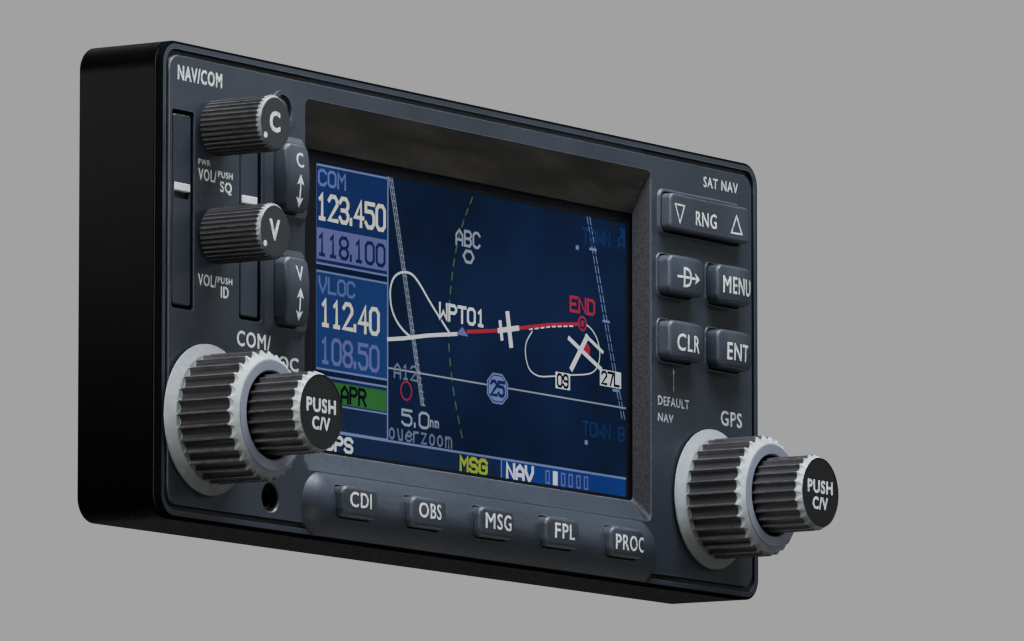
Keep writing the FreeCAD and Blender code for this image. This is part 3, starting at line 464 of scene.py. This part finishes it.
# Flat ribbons along a line, with mitred joints, in the same plane as their points.
def ribbon(points, width, closed=False):
    count = len(points)
    half = width / 2
    left, right = [], []
    for i, (x, y) in enumerate(points):
        before = points[i - 1] if i or closed else None
        after = points[(i + 1) % count] if i < count - 1 or closed else None
        turns = []
        for start, end in ((before, (x, y)), ((x, y), after)):
            if start and end:
                length = math.dist(start, end) or 1
                turns.append((-(end[1] - start[1]) / length, (end[0] - start[0]) / length))
        nx, ny = sum(t[0] for t in turns), sum(t[1] for t in turns)
        size = math.hypot(nx, ny) or 1
        nx, ny = nx / size, ny / size
        # the limit keeps sharp joints from spiking
        reach = half / max(0.6, nx * turns[0][0] + ny * turns[0][1])
        if len(turns) == 1:  # square ends run on by half the width
            sign = 1 if before else -1
            x, y = x + sign * half * turns[0][1], y - sign * half * turns[0][0]
        left.append((x + nx * reach, y + ny * reach))
        right.append((x - nx * reach, y - ny * reach))
    faces = [(i, i + 1, count + i + 1, count + i) for i in range(count - 1)]
    if closed:
        faces.append((count - 1, 0, count, 2 * count - 1))
    return left + right, faces


def ringPoints(cx, cy, radius, sides):
    angles = [math.radians(360.0 * i / sides) for i in range(sides)]
    return [(cx + radius * math.cos(a), cy + radius * math.sin(a)) for a in angles]


# Characters as strokes on a grid 4 wide and 6 high; each pair of digits is a point.
strokes = {
    "0": "103041453616050110", "1": "152620 1030", "2": "05163645440040",
    "3": "0516364544334241301001 1333", "4": "30360242", "5": "460604344341301001",
    "7": "06464520", "8": "13040516364544331302011030414233", "9": "0110304145361605041343",
    "A": "0004264440 0242", "B": "000636454433 0333424130 3000", "C": "4536160501103041",
    "D": "00063645413000", "E": "46060040 0333", "G": "45361605011030414323", "L": "060040",
    "M": "0006234640", "N": "00064046", "O": "103041453616050110", "P": "00063645443303",
    "R": "00063645443303 2340", "S": "453616050413334241301001", "T": "0646 2620",
    "V": "0604204446", "W": "0600234046", ".": "0001", " ": "",
    "n": "0004 03142433 3330", "m": "0004 0314232420 24344340", "o": "102031332414030110",
    "e": "02324324130201103041", "v": "04103034", "r": "0004 03142434", "z": "04340030",
}
print("characters are ready")


# The lit picture, drawn in display dots: u runs right and v runs down from the top left.
picture = {
    "columns": 240, "rows": 128,
    "marginLeft": 4.1 * mm, "marginRight": 2.1 * mm,
    "marginBottom": 2.7 * mm, "marginTop": 2.15 * mm,
    "lift": 0.03 * mm, "layer": 0.004 * mm,
}
inkLooks = {
    "mapBlue": (tone(13, 22, 45), tone(20, 34, 68)),
    "boxBlue": (tone(23, 36, 80), tone(32, 50, 106)),
    "radioBlue": (tone(33, 51, 100), tone(41, 64, 128)),
    "barBlue": (tone(25, 46, 112), tone(32, 56, 130)),
    "deepBlue": (tone(24, 35, 64), tone(29, 42, 76)),
    "lineBlue": (tone(100, 112, 158), tone(118, 130, 176)),
    "stripLavender": (tone(90, 94, 146), tone(102, 106, 158)),
    "labelBlue": (tone(82, 96, 152), tone(98, 112, 168)),
    "badgeBlue": (tone(100, 116, 168), tone(112, 128, 180)),
    "cream": (tone(214, 212, 196), tone(232, 230, 216)),
    "white": (tone(200, 206, 212), tone(224, 228, 232)),
    "grey": (tone(128, 136, 150), tone(150, 158, 172)),
    "faintGrey": (tone(92, 102, 124), tone(108, 118, 142)),
    "navyInk": (tone(22, 30, 70), tone(30, 40, 84)),
    "blackInk": (tone(8, 9, 16), tone(12, 13, 20)),
    "magentaRed": (tone(146, 34, 50), tone(168, 42, 60)),
    "routeGreen": (tone(64, 96, 54), tone(82, 116, 60)),
    "barGreen": (tone(38, 96, 44), tone(54, 114, 58)),
    "messageLime": (tone(142, 166, 44), tone(160, 184, 56)),
    "dimBlue": (tone(26, 40, 92), tone(32, 48, 106)),
}


def litInk(name, dark, light):
    material, tree, shader, where = startMaterial(name, Roughness=0.6, Specular_IOR_Level=0.0,
                                                  Base_Color=(0.0, 0.0, 0.0, 1.0),
                                                  Emission_Strength=1.0)
    glow = span(tree, noise(tree, where, 45, 2), 0.25, 0.75)
    tree.links.new(mixTones(tree, glow, dark, light), shader.inputs["Emission Color"])
    return material


canvas = {ink: ([], []) for ink in inkLooks}


def paint(ink, points, faces, layer):
    low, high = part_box("lcd_panel")
    left, right = low.x + picture["marginLeft"], high.x - picture["marginRight"]
    bottom, top = low.z + picture["marginBottom"], high.z - picture["marginTop"]
    stepX, stepZ = (right - left) / picture["columns"], (top - bottom) / picture["rows"]
    y = low.y - picture["lift"] - layer * picture["layer"]
    allPoints, allFaces = canvas[ink]
    first = len(allPoints)
    allPoints += [(left + u * stepX, y, top - v * stepZ) for u, v in points]
    allFaces += [tuple(first + i for i in face) for face in faces]


def fill(ink, u0, v0, u1, v1, layer=1):
    paint(ink, [(u0, v0), (u1, v0), (u1, v1), (u0, v1)], [(0, 1, 2, 3)], layer)


def patch(ink, points, layer=2):
    paint(ink, points, [tuple(range(len(points)))], layer)


def line(ink, points, width=0.8, layer=3, closed=False):
    paint(ink, *ribbon(points, width, closed), layer)


def frameBox(ink, u0, v0, u1, v1, width=0.9, layer=2):
    line(ink, [(u0, v0), (u1, v0), (u1, v1), (u0, v1)], width, layer, True)


def words(ink, text, u, v, width, height, stroke=0.9, layer=5, gap=1.45):
    # u, v is the top left corner and width is the whole line's; a full stop is narrow
    steps = [(0.6 if letter == "." else 4) + gap for letter in text]
    cell = width / (sum(steps) - gap)
    rise = height / 6
    for i, letter in enumerate(text):
        start = sum(steps[:i])
        for strokeText in strokes[letter].split():
            digits = [int(d) for d in strokeText]
            track = [(u + (start + digits[k]) * cell, v + height - digits[k + 1] * rise)
                     for k in range(0, len(digits), 2)]
            closed = track[0] == track[-1]
            line(ink, track[:-1] if closed else track, stroke, layer, closed)


def dashes(ink, points, width, dash, gap, layer=3):
    # cuts a track into dashes of even length
    pieces, current, left, drawing = [], [points[0]], dash, True
    for start, end in zip(points, points[1:]):
        done, length = 0.0, math.dist(start, end)
        while length - done > left:
            done += left
            share = done / length
            spot = (start[0] + (end[0] - start[0]) * share, start[1] + (end[1] - start[1]) * share)
            current.append(spot)
            if drawing:
                pieces.append(current)
            drawing = not drawing
            left = dash if drawing else gap
            current = [spot]
        left -= length - done
        current.append(end)
    for piece in pieces:
        line(ink, piece, width, layer)


def smoothTrack(points):
    # a Catmull-Rom curve through the points, in five steps from each to the next
    last, steps = len(points) - 1, 5
    result = []
    for i in range(last):
        p = [points[min(max(i + k, 0), last)] for k in (-1, 0, 1, 2)]
        for step in range(steps):
            t = step / steps
            result.append(tuple(
                0.5 * (2 * p[1][a] + (p[2][a] - p[0][a]) * t
                       + (2 * p[0][a] - 5 * p[1][a] + 4 * p[2][a] - p[3][a]) * t * t
                       + (3 * p[1][a] - p[0][a] - 3 * p[2][a] + p[3][a]) * t ** 3)
                for a in (0, 1)))
    return result + [points[-1]]


def radioBoxes():
    fill("boxBlue", 0, 1, 54, 45)
    frameBox("lineBlue", 0.5, 1, 54, 45)
    words("labelBlue", "COM", 2.5, 3.3, 19.5, 6.4, 1.3)
    words("cream", "123.450", 2, 14.2, 49.5, 10.6, 1.8)
    fill("stripLavender", 1.2, 29, 53.3, 43.2, 3)
    words("navyInk", "118.100", 2, 31.8, 49.5, 9.2, 1.6)
    line("navyInk", [(1.5, 43.4), (53, 43.4)], 0.6, 4)
    fill("radioBlue", 0, 48.5, 54, 92)
    frameBox("lineBlue", 0.5, 48.5, 54, 92)
    words("labelBlue", "VLOC", 3, 51.2, 26, 6.4, 1.3)
    words("cream", "112.40", 4.5, 61.2, 42.5, 11, 1.8)
    words("stripLavender", "108.50", 4.5, 78.2, 42.5, 10.6, 1.7)
    fill("boxBlue", 0, 95, 54, 119, 0)
    fill("deepBlue", 1, 107.5, 53.5, 118.5, 1)
    frameBox("lineBlue", 0.5, 95.2, 54, 119)
    fill("barGreen", 1.5, 97, 53.2, 106.5, 3)
    words("blackInk", "APR", 19.6, 98.4, 17.8, 6.8, 1.5)
    line("lineBlue", [(1, 107.4), (53.6, 107.4)], 0.7, 3)
    line("lineBlue", [(54, 0), (54, 119)], 0.8, 3)


def roads():
    for offset in (0.0, 1.3, 2.6):
        line("grey", [(54.6 + offset, 0.4), (60 + offset, 22), (68 + offset * 0.9, 54),
                      (79.4 + offset * 0.8, 101)], 0.42, 2)
    for i in range(34):
        v = 1.5 + i * 3
        u = 55 + v * 0.25
        line("grey", [(u, v), (u + 2.4, v + 0.3)], 0.35, 2)
    for offset in (0.0, 2.2):
        dashes("lineBlue", [(209 + offset, 0.4), (214.5 + offset, 20), (223 + offset, 48),
                            (231 + offset, 74), (237 + offset, 92)], 0.6, 3.2, 1.4, 2)
    for u, v in ((213.5, 15), (224, 47.5), (232, 79)):
        line("lineBlue", [(u - 2.2, v), (u + 2.4, v)], 1.2, 3)
    line("grey", [(54.4, 86.5), (239.6, 86.5)], 0.7, 2)
    bend = smoothTrack([(118.5, 2), (112, 13), (106, 27), (102.5, 42), (100.5, 56), (100.5, 72),
                        (103.5, 90), (108, 105), (113, 118)])
    dashes("routeGreen", bend, 0.8, 3.2, 3.4, 2)


def routeAndLoops():
    loop = smoothTrack([(93, 59.5), (85, 52.5), (78, 46), (72, 42.3), (65, 42.2), (59, 45),
                        (56, 50.5), (56.5, 58), (60, 64), (66, 68.5), (73, 71.3)])
    line("white", loop, 1.0, 3)
    line("white", [(95, 61), (101, 66)], 1.0, 3)
    line("white", [(54.4, 73.6), (66, 72), (84, 68.8), (106, 65.8)], 1.7, 4)
    patch("stripLavender", [(106, 66), (110.6, 62), (115.4, 66)], 5)
    line("magentaRed", [(115, 63.8), (137, 61)], 1.7, 4)
    line("magentaRed", [(154.5, 58), (178, 54), (202, 51)], 1.7, 4)
    dashes("white", [(163, 57.7), (180, 54.6), (200, 52.2)], 0.6, 2.4, 2.2, 5)
    oval = smoothTrack([(165, 58.5), (160.5, 64), (160, 70), (163, 76), (170, 78.4),
                        (180, 77.6), (195, 75.5), (210, 73.4), (216.5, 70), (219, 64),
                        (217.5, 57.5), (213, 52.8), (208, 50.6)])
    line("white", oval, 0.55, 3)


def mapSigns():
    # the aeroplane, its wings across the route
    line("white", [(139.2, 60.7), (153.6, 58.1)], 2.3, 7)
    line("white", [(145.8, 52.6), (148.4, 66.2)], 2.9, 7)
    line("white", [(140, 57), (141.3, 64)], 2.1, 7)
    # two crossing runways and their numbers
    line("white", [(194.5, 58.6), (207, 64.4), (219.5, 70)], 2.0, 6)
    line("white", [(196.5, 72), (208.5, 56.6)], 2.7, 6)
    line("white", [(208, 56), (221, 62)], 1.6, 6)
    patch("magentaRed", ringPoints(208, 62.5, 3.2, 20), 5)
    for text, u, v, width in (("09", 183.5, 75, 11.5), ("27L", 219, 70.2, 17)):
        fill("white", u, v, u + width, v + 7.6, 8)
        words("blackInk", text, u + 1.6, v + 1.0, width - 3.2, 5.6, 1.3, 9)
    for radius, width in ((3.1, 0.9), (1.0, 1.0)):
        line("magentaRed", ringPoints(205, 50.5, radius, 20), width, 6, True)
    words("magentaRed", "END", 195.5, 39, 19, 6.4, 1.4)
    line("magentaRed", ringPoints(68, 95.5, 4.1, 24), 0.8, 4, True)
    # the road number
    corner = 0.45
    sides = [(-1, corner), (-1, -corner), (-corner, -1), (corner, -1), (1, -corner),
             (1, corner), (corner, 1), (-corner, 1)]
    plates = (("lineBlue", 8.2, 7.0, 4), ("navyInk", 7.4, 6.2, 5), ("badgeBlue", 6.9, 5.7, 6))
    for ink, wide, high, layer in plates:
        patch(ink, [(138 + wide * x, 87.5 + high * y) for x, y in sides], layer)
    words("navyInk", "25", 133, 84.4, 10, 6.2, 1.6, 7)
    words("grey", "ABC", 106, 18, 18, 6.6, 1.2)
    hexagon = [(113.6, 27), (117.4, 27), (119.4, 29.4), (117.4, 32), (113.6, 32), (111.6, 29.4)]
    line("grey", hexagon, 1.3, 4, True)
    words("faintGrey", "A12", 59, 84, 17, 6.2, 1.0)
    words("white", "WPT01", 93.5, 53.2, 34, 6.8, 1.4)
    patch("boxBlue", [(235, 2), (239.8, 2.6), (239.8, 11), (237.6, 8)], 1)
    words("dimBlue", "TOWN A", 205.5, 6, 33, 6, 1.1)
    words("dimBlue", "TOWN B", 205.5, 96, 33, 6, 1.0)
    for u, v in ((201, 15.5), (208, 105.5)):
        fill("lineBlue", u - 1.2, v - 1, u + 1.2, v + 1, 4)
    words("grey", "5.0", 65, 104.3, 20, 6.6, 1.2)
    words("grey", "nm", 86.5, 105.8, 6, 4.0, 0.7)
    words("faintGrey", "overzoom", 55.5, 111.4, 47, 6.6, 1.0)


def statusBar():
    line("lineBlue", [(0, 119.4), (239.8, 119.4)], 1.0, 4)
    fill("deepBlue", 0, 119.8, 240, 128, 1)
    words("white", "GPS", 8, 121.4, 19.5, 6, 1.5)
    words("messageLime", "MSG", 109.5, 121.4, 20, 6.2, 1.7)
    fill("barBlue", 141, 119.8, 239.8, 128, 2)
    line("lineBlue", [(141, 119.8), (141, 128)], 0.8, 3)
    words("white", "NAV", 145.5, 121.4, 20, 6.2, 1.8)
    for i, u in enumerate((175.5, 181.5, 187.8, 193.8, 200, 206)):
        if i == 1:
            fill("white", u, 121.2, u + 3.6, 127.6, 4)
        else:
            frameBox("stripLavender", u + 0.4, 121.7, u + 3.1, 127.1, 0.8, 4)


fill("mapBlue", 0, 0, 240, 128, 0)
radioBoxes()
roads()
routeAndLoops()
mapSigns()
statusBar()
for ink, (points, faces) in canvas.items():
    meshPiece("picture_" + ink, points, faces, litInk("lit_" + ink, *inkLooks[ink]))
print("picture is drawn")


# Printed legends, laid onto the surface that they are printed on.
surfaces = {}


def surfaceOf(node):
    if node not in surfaces:
        mesh = nodes[node].data
        surfaces[node] = BVHTree.FromPolygons([v.co for v in mesh.vertices],
                                              [p.vertices for p in mesh.polygons])
    return surfaces[node]


def layOn(points, node, lift):
    tree = surfaceOf(node)
    ahead = frontY - 60 * mm  # well in front of the longest knob
    laid = []
    for x, z in points:
        hit = tree.ray_cast(Vector((x, ahead, z)), Vector((0, 1, 0)))[0]
        laid.append((x, (hit.y if hit else frontY) - lift, z))
    return laid


def printInk(name, colour, worn):
    material, tree, shader, where = startMaterial(name, Roughness=0.55, Specular_IOR_Level=0.3)
    wear = span(tree, noise(tree, where, 1400, 3), 0.32, 0.55)
    tree.links.new(mixTones(tree, wear, worn, colour), shader.inputs["Base Color"])
    return material


# one white print in three brightnesses: the lighter and darker copies are painted light and shade
# for how lit each legend is
inks = {
    "bright": printInk("legendBright", tone(220, 224, 222), tone(170, 174, 174)),
    "soft": printInk("legendSoft", tone(200, 205, 206), tone(146, 152, 156)),
    "dim": printInk("legendDim", tone(168, 174, 178), tone(120, 126, 132)),
}
lettering = {
    "curveSteps": 3, "spacing": 1.12, "longestEdge": 0.5 * mm,
    "panelLift": 0.012 * mm, "markLift": 0.014 * mm, "keyLift": 0.03 * mm,
}


def refined(points, faces, step):
    # splits long edges, so that a print follows a curved face
    mesh = bmesh.new()
    corners = [mesh.verts.new((x, z, 0)) for x, z in points]
    for face in faces:
        mesh.faces.new([corners[i] for i in face])
    bmesh.ops.triangulate(mesh, faces=mesh.faces[:])
    for _ in range(4):
        long = [edge for edge in mesh.edges if edge.calc_length() > step]
        if not long:
            break
        bmesh.ops.subdivide_edges(mesh, edges=long, cuts=1)
        bmesh.ops.triangulate(mesh, faces=mesh.faces[:])
    mesh.verts.index_update()
    corners = [(v.co.x, v.co.y) for v in mesh.verts]
    split = [tuple(v.index for v in f.verts) for f in mesh.faces]
    mesh.free()
    return corners, split


def thicken(points, faces, amount):
    # moves the outline outward, with sharp corners held in
    sides = {side for face in faces for side in zip(face, face[1:] + face[:1])}
    pushes = {}
    for start, end in sides:
        if (end, start) not in sides:
            (x0, y0), (x1, y1) = points[start], points[end]
            length = math.hypot(x1 - x0, y1 - y0) or 1
            for corner in (start, end):
                pushes.setdefault(corner, []).append(((y1 - y0) / length, (x0 - x1) / length))
    result = list(points)
    for corner, normals in pushes.items():
        nx, ny = sum(n[0] for n in normals), sum(n[1] for n in normals)
        size = math.hypot(nx, ny) or 1
        nx, ny = nx / size, ny / size
        reach = amount / max(0.7, nx * normals[0][0] + ny * normals[0][1])
        result[corner] = (points[corner][0] + nx * reach, points[corner][1] + ny * reach)
    return result


def letterShape(text, weight):
    data = bpy.data.curves.new("letters", "FONT")
    data.body = text
    data.resolution_u = lettering["curveSteps"]
    data.space_character = lettering["spacing"]
    holder = bpy.data.objects.new("letters", data)
    bpy.context.scene.collection.objects.link(holder)
    bpy.context.view_layer.update()
    mesh = bpy.data.meshes.new_from_object(holder)
    points = [(v.co.x, v.co.y) for v in mesh.vertices]
    faces = [tuple(p.vertices) for p in mesh.polygons]
    bpy.data.objects.remove(holder)
    bpy.data.curves.remove(data)
    bpy.data.meshes.remove(mesh)
    return thicken(points, faces, weight), faces


def legend(name, text, node, box, ink, weight, body="root", lift=lettering["panelLift"]):
    # box is (left, right, bottom, top) in mm; the letters fill it
    points, faces = letterShape(text, weight)
    lowX, highX = min(p[0] for p in points), max(p[0] for p in points)
    lowZ, highZ = min(p[1] for p in points), max(p[1] for p in points)
    left, right, bottom, top = (value * mm for value in box)
    flat = [(left + (x - lowX) / (highX - lowX) * (right - left),
             bottom + (z - lowZ) / (highZ - lowZ) * (top - bottom)) for x, z in points]
    if body != "root":
        flat, faces = refined(flat, faces, lettering["longestEdge"])
    return meshPiece(name, layOn(flat, node, lift), faces, inks[ink], body)


def mark(name, shapes, node, ink, body="root", lift=lettering["markLift"]):
    # shapes are (points, faces) in mm, joined into one printed mark
    points, faces = [], []
    for shapePoints, shapeFaces in shapes:
        faces += [tuple(len(points) + i for i in face) for face in shapeFaces]
        points += [(x * mm, z * mm) for x, z in shapePoints]
    points, faces = refined(points, faces, lettering["longestEdge"])
    return meshPiece(name, layOn(points, node, lift), faces, inks[ink], body)


def solidShape(points):
    return points, [tuple(range(len(points)))]


# name, text, its box on the panel in mm, ink, and how much the strokes are thickened
panelPrint = [
    ("print_title", "NAV/COM", (-75.4, -64.6, 28.2, 30.3), "bright", 0.02),
    ("print_system", "SAT NAV", (63.6, 73.5, 28.6, 30.2), "soft", 0.008),
    ("print_power", "PWR", (-70.3, -67.4, 16.8, 17.6), "soft", 0.01),
    ("print_com_volume", "VOL/", (-70.3, -65.9, 14.6, 16.3), "bright", 0.02),
    ("print_com_push", "PUSH", (-65.5, -61.9, 15.5, 16.4), "soft", 0.02),
    ("print_squelch", "SQ", (-65.0, -62.1, 13.2, 15.0), "bright", 0.02),
    ("print_nav_volume", "VOL/", (-70.3, -65.7, -0.3, 1.4), "bright", 0.02),
    ("print_nav_push", "PUSH", (-65.5, -61.9, 0.5, 1.4), "soft", 0.02),
    ("print_ident", "ID", (-64.7, -62.8, -1.5, 0.1), "bright", 0.02),
    ("print_com", "COM/", (-60.7, -52.3, -7.9, -5.7), "bright", 0.012),
    ("print_vloc", "VLOC", (-54.4, -45.4, -10.3, -8.3), "bright", 0.02),
    ("print_gps", "GPS", (68.4, 74.5, -7.5, -5.2), "soft", 0.012),
    ("print_default", "DEFAULT", (50.5, 59.3, -6.0, -4.6), "dim", 0.01),
    ("print_nav", "NAV", (50.5, 54.8, -8.5, -7.2), "dim", 0.01),
]
for name, text, box, ink, weight in panelPrint:
    legend(name, text, "front_bezel", box, ink, weight)
defaultArrow = [ribbon([(54.9, -3.5), (54.9, -0.6)], 0.16),
                solidShape([(54.55, -0.9), (55.25, -0.9), (54.9, 0.0)])]
mark("print_default_arrow", defaultArrow, "front_bezel", "dim")


def keyLegend(node, text, width, height, shiftX, shiftZ, weight=0.0):
    centre = middle(node) / mm
    x, z = centre.x + shiftX, centre.z + shiftZ
    box = (x - width / 2, x + width / 2, z - height / 2, z + height / 2)
    legend("legend_" + node, text, node, box, "bright", weight, node + "_body",
           lettering["keyLift"])


keyPrint = {  # text, width, height, and how far it sits from the key's middle
    "course_key": ("CDI", 5.3, 2.2, -0.4, 0.3),
    "bearing_key": ("OBS", 5.7, 2.2, -0.3, 0.25),
    "message_key": ("MSG", 6.8, 2.3, 0.0, 0.15),
    "plan_key": ("FPL", 5.3, 2.2, -0.05, 0.2),
    "procedure_key": ("PROC", 7.9, 2.3, 0.3, -0.1),
    "menu_key": ("MENU", 7.8, 2.6, 0.15, -0.15),
    "clear_key": ("CLR", 6.2, 2.6, -0.2, -0.35),
    "enter_key": ("ENT", 6.0, 2.6, 0.15, -0.35),
    "range_key": ("RNG", 6.0, 2.2, -0.9, -0.35),
}
for node, (text, width, height, shiftX, shiftZ) in keyPrint.items():
    keyLegend(node, text, width, height, shiftX, shiftZ, 0.006)


triangles = {
    "places": ((-8.75, -1), (7.6, 1)), "drop": 0.2, "halfWidth": 1.4, "foot": 1.3, "tip": 1.4,
    "line": 0.26,
}


def rangeMarks():
    centre = middle("range_key") / mm
    shapes = []
    for shift, way in triangles["places"]:
        x, z = centre.x + shift, centre.z - triangles["drop"]
        foot = z - way * triangles["foot"]
        corners = [(x - triangles["halfWidth"], foot), (x + triangles["halfWidth"], foot),
                   (x, z + way * triangles["tip"])]
        shapes.append(ribbon(corners, triangles["line"], True))
    mark("legend_range_key_marks", shapes, "range_key", "bright", "range_key_body",
         lettering["keyLift"])


flipArrow = {
    "letter": (1.7, 2.1), "letterRise": 2.5, "top": 0.42, "bottom": -4.3, "inset": 1,
    "line": 0.26, "barb": 0.85, "barbBack": 1.5, "neck": 1.1,
}


def flipMarks():
    for node, text in (("com_flip_key", "C"), ("nav_flip_key", "V")):
        centre = middle(node) / mm
        keyLegend(node, text, *flipArrow["letter"], 0.0, flipArrow["letterRise"])
        x, barb = centre.x, flipArrow["barb"]
        top, bottom = centre.z + flipArrow["top"], centre.z + flipArrow["bottom"]
        stem = [(x, bottom + flipArrow["inset"]), (x, top - flipArrow["inset"])]
        shapes = [ribbon(stem, flipArrow["line"])]
        for tip, way in ((bottom, 1), (top, -1)):
            back, neck = tip + way * flipArrow["barbBack"], tip + way * flipArrow["neck"]
            shapes.append(solidShape([(x - barb, back), (x, neck), (x + barb, back), (x, tip)]))
        mark("legend_" + node + "_arrow", shapes, node, "bright", node + "_body",
             lettering["keyLift"])


directArrow = {
    "letter": (2.1, 3.0), "shift": (-0.65, -0.33), "line": 0.34, "lift": 0.04 * mm,
    "tail": 2.4, "end": 2.6, "barb": 0.85, "barbBack": 2.1, "notch": 2.5, "tip": 3.7,
}


def directMark():
    centre = middle("direct_key") / mm
    look, shift, barb = directArrow, directArrow["shift"], directArrow["barb"]
    x, z = centre.x + shift[0], centre.z + shift[1]
    keyLegend("direct_key", "D", *look["letter"], *shift)
    shapes = [ribbon([(x - look["tail"], z), (x + look["end"], z)], look["line"]),
              solidShape([(x + look["barbBack"], z + barb), (x + look["notch"], z),
                          (x + look["barbBack"], z - barb), (x + look["tip"], z)])]
    mark("legend_direct_key_arrow", shapes, "direct_key", "bright", "direct_key_body",
         look["lift"])


dialPrint = {  # text, half width, and its bottom and top from the dial's middle
    "push": ("PUSH", 3.6, -0.15, 1.85),
    "channel": ("C/V", 2.2, -2.6, -0.7),
}
volumePrint = {
    "shift": 0.15, "halfWidth": 1.3, "halfHeight": 1.5, "dotLeft": 2.3, "dotDrop": 2.1,
    "dotRadius": 0.42, "dotSides": 16,
}
knobWeight = 0.03


def knobMarks():
    for side in ("left", "right"):
        node, body = side + "_inner_knob", side + "_inner_dial"
        centre = middle(node) / mm
        for row, (text, half, bottom, top) in dialPrint.items():
            box = (centre.x - half, centre.x + half, centre.z + bottom, centre.z + top)
            legend("legend_" + node + "_" + row, text, node, box, "bright", knobWeight, body)
    look = volumePrint
    for channel, text in (("com", "C"), ("nav", "V")):
        node, body = channel + "_volume_knob", channel + "_volume_dial"
        centre = middle(node) / mm
        x, z = centre.x - look["shift"], centre.z + look["shift"]
        box = (x - look["halfWidth"], x + look["halfWidth"], z - look["halfHeight"],
               z + look["halfHeight"])
        legend("legend_" + node, text, node, box, "bright", knobWeight, body)
        dot = ringPoints(x - look["dotLeft"], z - look["dotDrop"], look["dotRadius"],
                         look["dotSides"])
        mark("legend_" + node + "_dot", [solidShape(dot)], node, "bright", body,
             lettering["panelLift"])


rangeMarks()
flipMarks()
directMark()
knobMarks()
print("legends are printed")


stage = {
    "floorDrop": 0.55, "floorSize": 16.0, "floorGlow": 0.14, "roughness": 0.85, "cloud": 1.5,
    "dark": tone(186, 186, 184), "light": tone(196, 196, 195),
}


def buildStage():
    material, tree, shader, where = startMaterial("paleFloor", Roughness=stage["roughness"],
                                                  Emission_Strength=stage["floorGlow"])
    pale = mixTones(tree, noise(tree, where, stage["cloud"], 3), stage["dark"], stage["light"])
    tree.links.new(pale, shader.inputs["Base Color"])
    tree.links.new(pale, shader.inputs["Emission Color"])
    half = stage["floorSize"] / 2
    z = cadSize[0][2] - stage["floorDrop"]
    corners = [(-half, -half, z), (half, -half, z), (half, half, z), (-half, half, z)]
    mesh = bpy.data.meshes.new("floor")
    mesh.from_pydata(corners, [], [(0, 1, 2, 3)])
    mesh.materials.append(material)
    floor = bpy.data.objects.new("floor", mesh)
    bpy.context.scene.collection.objects.link(floor)


lamps = {
    # name: (place, aim, width and depth, watts, colour)
    "overhead": ((-0.04, -0.1, 0.30), (0.0, -0.01, 0.0), (0.36, 0.14), 4.7, (0.87, 0.91, 1.0)),
    "frontFill": ((-0.7, -1.4, 0.5), (0.0, 0.0, 0.0), (0.9, 0.6), 0.8, (0.95, 0.98, 1.0)),
    "leftFill": ((-0.5, -0.07, 0.26), (-0.04, 0.0, 0.0), (0.2, 0.2), 3.6, (1.0, 0.97, 0.93)),
    "lowFill": ((-0.2, -1.1, -0.42), (0.0, 0.0, -0.02), (0.4, 0.4), 2.0, (1.0, 0.95, 0.88)),
    "backFill": ((0.6, 1.4, 0.8), (0.0, 0.0, 0.0), (0.8, 0.8), 16.0, (1.0, 0.99, 0.97)),
    "rightEdge": ((1.2, -0.8, 0.5), (0.0, 0.0, 0.0), (0.5, 0.5), 1.3, (0.95, 0.97, 1.0)),
}
view = {
    "place": (-1.14093, -0.76643, -0.16153), "aim": (0.010222, -0.0144, 0.002729),
    "lens": 330.31, "filmWidth": 36.0, "near": 0.01, "far": 20.0,
}
backdrop = {
    "grey": tone(172, 172, 172), "lightLow": 0.015, "lightHigh": 0.16, "riseFrom": -0.2,
    "riseTo": 0.5,
}


def facing(place, aim):
    return (Vector(aim) - Vector(place)).to_track_quat("-Z", "Y").to_euler()


def addLamp(name, place, aim, size, watts, colour):
    data = bpy.data.lights.new(name, "AREA")
    data.shape = "RECTANGLE"
    data.size, data.size_y = size
    data.energy = watts
    data.color = colour
    lamp = bpy.data.objects.new(name, data)
    lamp.location = place
    lamp.rotation_euler = facing(place, aim)
    bpy.context.scene.collection.objects.link(lamp)


def addCamera():
    data = bpy.data.cameras.new("camera")
    data.lens = view["lens"]
    data.sensor_width = view["filmWidth"]
    data.clip_start = view["near"]
    data.clip_end = view["far"]
    camera = bpy.data.objects.new("camera", data)
    camera.location = view["place"]
    camera.rotation_euler = facing(view["place"], view["aim"])
    bpy.context.scene.collection.objects.link(camera)
    bpy.context.scene.camera = camera


def softWorld():
    # an even grey behind the object, and a much weaker light from above the floor
    world = bpy.data.worlds.new("studio")
    world.use_nodes = True
    tree = world.node_tree
    background = tree.nodes["Background"]
    background.inputs["Color"].default_value = backdrop["grey"]
    height = axes(tree, tree.nodes.new("ShaderNodeTexCoord").outputs["Generated"])[2]
    glow = span(tree, height, backdrop["riseFrom"], backdrop["riseTo"], backdrop["lightLow"],
                backdrop["lightHigh"])
    seen = tree.nodes.new("ShaderNodeLightPath").outputs["Is Camera Ray"]
    tree.links.new(maths(tree, "MAXIMUM", seen, glow), background.inputs["Strength"])
    bpy.context.scene.world = world


buildStage()
for name, values in lamps.items():
    addLamp(name, *values)
addCamera()
softWorld()
print("stage, light and camera are set")
